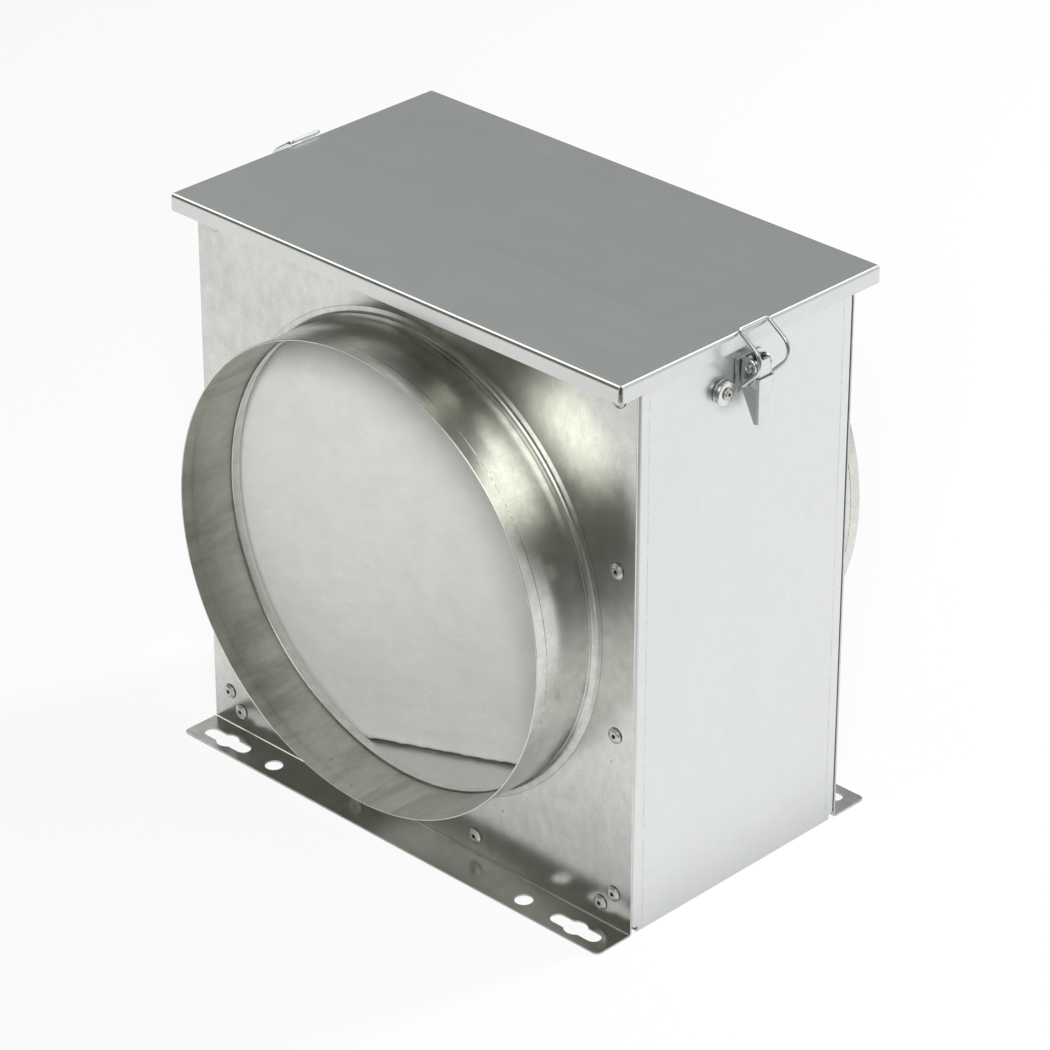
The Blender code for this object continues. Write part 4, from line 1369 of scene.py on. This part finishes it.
def makeLatchPin(side, turn):
    end = latch["width"] / 2 + sheet["gap"] + latch["pinHeadTall"]
    head, tall, dimple, deep = latch["pinHead"], latch["pinHeadTall"], latch["dimple"], latch["dimpleDeep"]
    half = [
        (0, end - deep),
        (dimple * 0.9, end - deep),
        (dimple * 1.05, end - deep * 0.7),
        (dimple * 1.2, end - latch["dimpleEdge"]),
        (dimple * 1.4, end),
        (head * 0.86, end),
        (head * 0.96, end - tall * 0.15),
        (head, end - tall * 0.4),
        (head, end - tall),
        (latch["pin"], end - tall),
    ]
    mesh = lathe(half + [(r, -h) for r, h in reversed(half)], 32, False)
    mesh.transform(latchPlace(turn) @ sidewise())
    handOver(standPiece(side + "LatchPin", mesh, latchZinc), "casing", "zinc_plate", side + "_latch_pin")


def makeLatchLever(side, turn):
    front, lobe, thick = latch["front"] - latch["pivotOut"], latch["lobe"], latch["leverSheet"]
    cheek = [(front, -latch["length"]), (front, -latch["notch"]), (lobe, -latch["notch"])]
    cheek += arc((0, 0), lobe, 0, math.pi, 20)
    cheek += [(-lobe, -latch["cheek"]), (front - latch["tip"], -latch["length"])]
    half = latch["width"] / 2

    def bend(shape):
        # the channel's long bends are rounded before the sheet is hollowed
        outer = [e for e in shape.edges if all(abs(v.co.x - front) < 1e-6 for v in e.verts)]
        outer = [e for e in outer if abs(e.verts[0].co.z - e.verts[1].co.z) < 1e-6]
        roundOff(shape, outer, latch["leverBend"], 6, "EDGES")

    lever = standPiece(side + "LatchLever", remade(prism([cheek], -half, half), bend), latchZinc)
    inside, far, well = front - thick, 3 * latch["length"], half - thick
    hollow = [(-far, -well), (inside, -well), (inside, well), (-far, well)]
    hollow = roundCorners(hollow, [0, latch["channelBend"], latch["channelBend"], 0], 5)
    channel = prism([hollow], -far, far)
    channel.transform(Matrix.Rotation(-math.pi / 2, 4, "X"))
    carve(lever, channel)
    drop = latch["hookHeight"] - latch["pivotHeight"]
    pivot = rod((0, 0, -2 * half), (0, 0, 2 * half), latch["pin"] + sheet["gap"], 24)
    hooks = rod((0, drop, -2 * half), (0, drop, 2 * half), latch["wire"] + sheet["gap"], 20)
    carve(lever, joined([pivot, hooks]))
    breakEdges(lever, latch["edge"])
    lever.data.transform(latchPlace(turn) @ sidewise())
    handOver(lever, side + "_lever", "zinc_plate", side + "_latch_lever")


def makeLatchBail(side, turn):
    bar = Vector((latch["barOut"] - latch["pivotOut"], 0, latch["barHeight"] - latch["hookHeight"]))
    slope = (bar.z - bar.x) / 2
    bow, hook = Vector((slope, 0, slope)), Vector((0, 0, 0))
    aside = Vector((0, latch["bailHalf"], 0))
    stub = Vector((0, latch["width"] / 2 - latch["leverSheet"], 0))
    points = [hook - stub, hook - aside, bow - aside, bar - aside]
    points += [bar + aside, bow + aside, hook + aside, hook + stub]
    turns = [0, latch["hookBend"], latch["bowBend"], latch["barBend"]]
    path = roundCorners(points, turns + turns[::-1], 10, closed=False)
    drawn = {"dimensions": "3D", "bevel_depth": latch["wire"], "bevel_resolution": 6, "use_fill_caps": True}

    def clean(shape):
        bmesh.ops.remove_doubles(shape, verts=shape.verts, dist=1e-7)
        faceOut(shape)

    mesh = remade(curveMesh([path], False, **drawn), clean)
    smooth(mesh, 50)
    mesh.transform(latchPlace(turn) @ Matrix.Translation((latch["pivotOut"], 0, latch["hookHeight"])))
    bail = standPiece(side + "LatchBail", mesh, latchZinc)
    handOver(bail, side + "_bail", "zinc_plate", side + "_latch_bail")


for side, turn in (("right", 0.0), ("left", math.pi)):
    makeLatchBase(side, turn)
    makeLatchPin(side, turn)
    makeLatchLever(side, turn)
    makeLatchBail(side, turn)
print("latches made")


# grooved button on the right end wall: two discs with a groove between, and its rivet
button = millimetres({
    "y": -19.6,
    "z": 278.2,
    "radius": 6.3,
    "groove": 4.6,
    "disc": 1.4,
    "gap": 1.2,
    "bore": 2.3,
    "fillet": 0.2,
})
buttonRivet = millimetres({"Head Radius": 3.2, "Head Height": 1.6, "Depth": 8.8})


def makeButton():
    low = sheet["gap"]
    top = low + 2 * button["disc"] + button["gap"]
    radius, groove, bore, fillet = button["radius"], button["groove"], button["bore"], button["fillet"]
    upper, lower = top - button["disc"], low + button["disc"]
    profile = [
        (bore, top),
        (radius - 0.75 * mm, top),
        (radius - 0.3 * mm, top - 0.12 * mm),
        (radius - 0.06 * mm, top - 0.35 * mm),
        (radius, top - 0.6 * mm),
        (radius, upper + fillet),
        (radius - fillet, upper),
        (groove + fillet, upper),
        (groove, upper - fillet),
        (groove, lower + fillet),
        (groove + fillet, lower),
        (radius - fillet, lower),
        (radius, lower - fillet),
        (radius, low + 0.6 * mm),
        (radius - 0.3 * mm, low + 0.12 * mm),
        (radius - 0.75 * mm, low),
        (bore, low),
    ]
    mesh = lathe(profile, 72)
    place = Matrix.Translation((box["halfLength"], button["y"], button["z"]))
    mesh.transform(place @ Matrix.Rotation(math.pi / 2, 4, "Y"))
    handOver(standPiece("groovedButton", mesh, latchZinc), "casing", "zinc_plate", "grooved_button")
    head = (box["halfLength"] + top, button["y"], button["z"])
    rivetRow("buttonRivet", [("button_rivet", head, (1, 0, 0))], buttonRivet, rustyRivet)


makeButton()
print("button made")
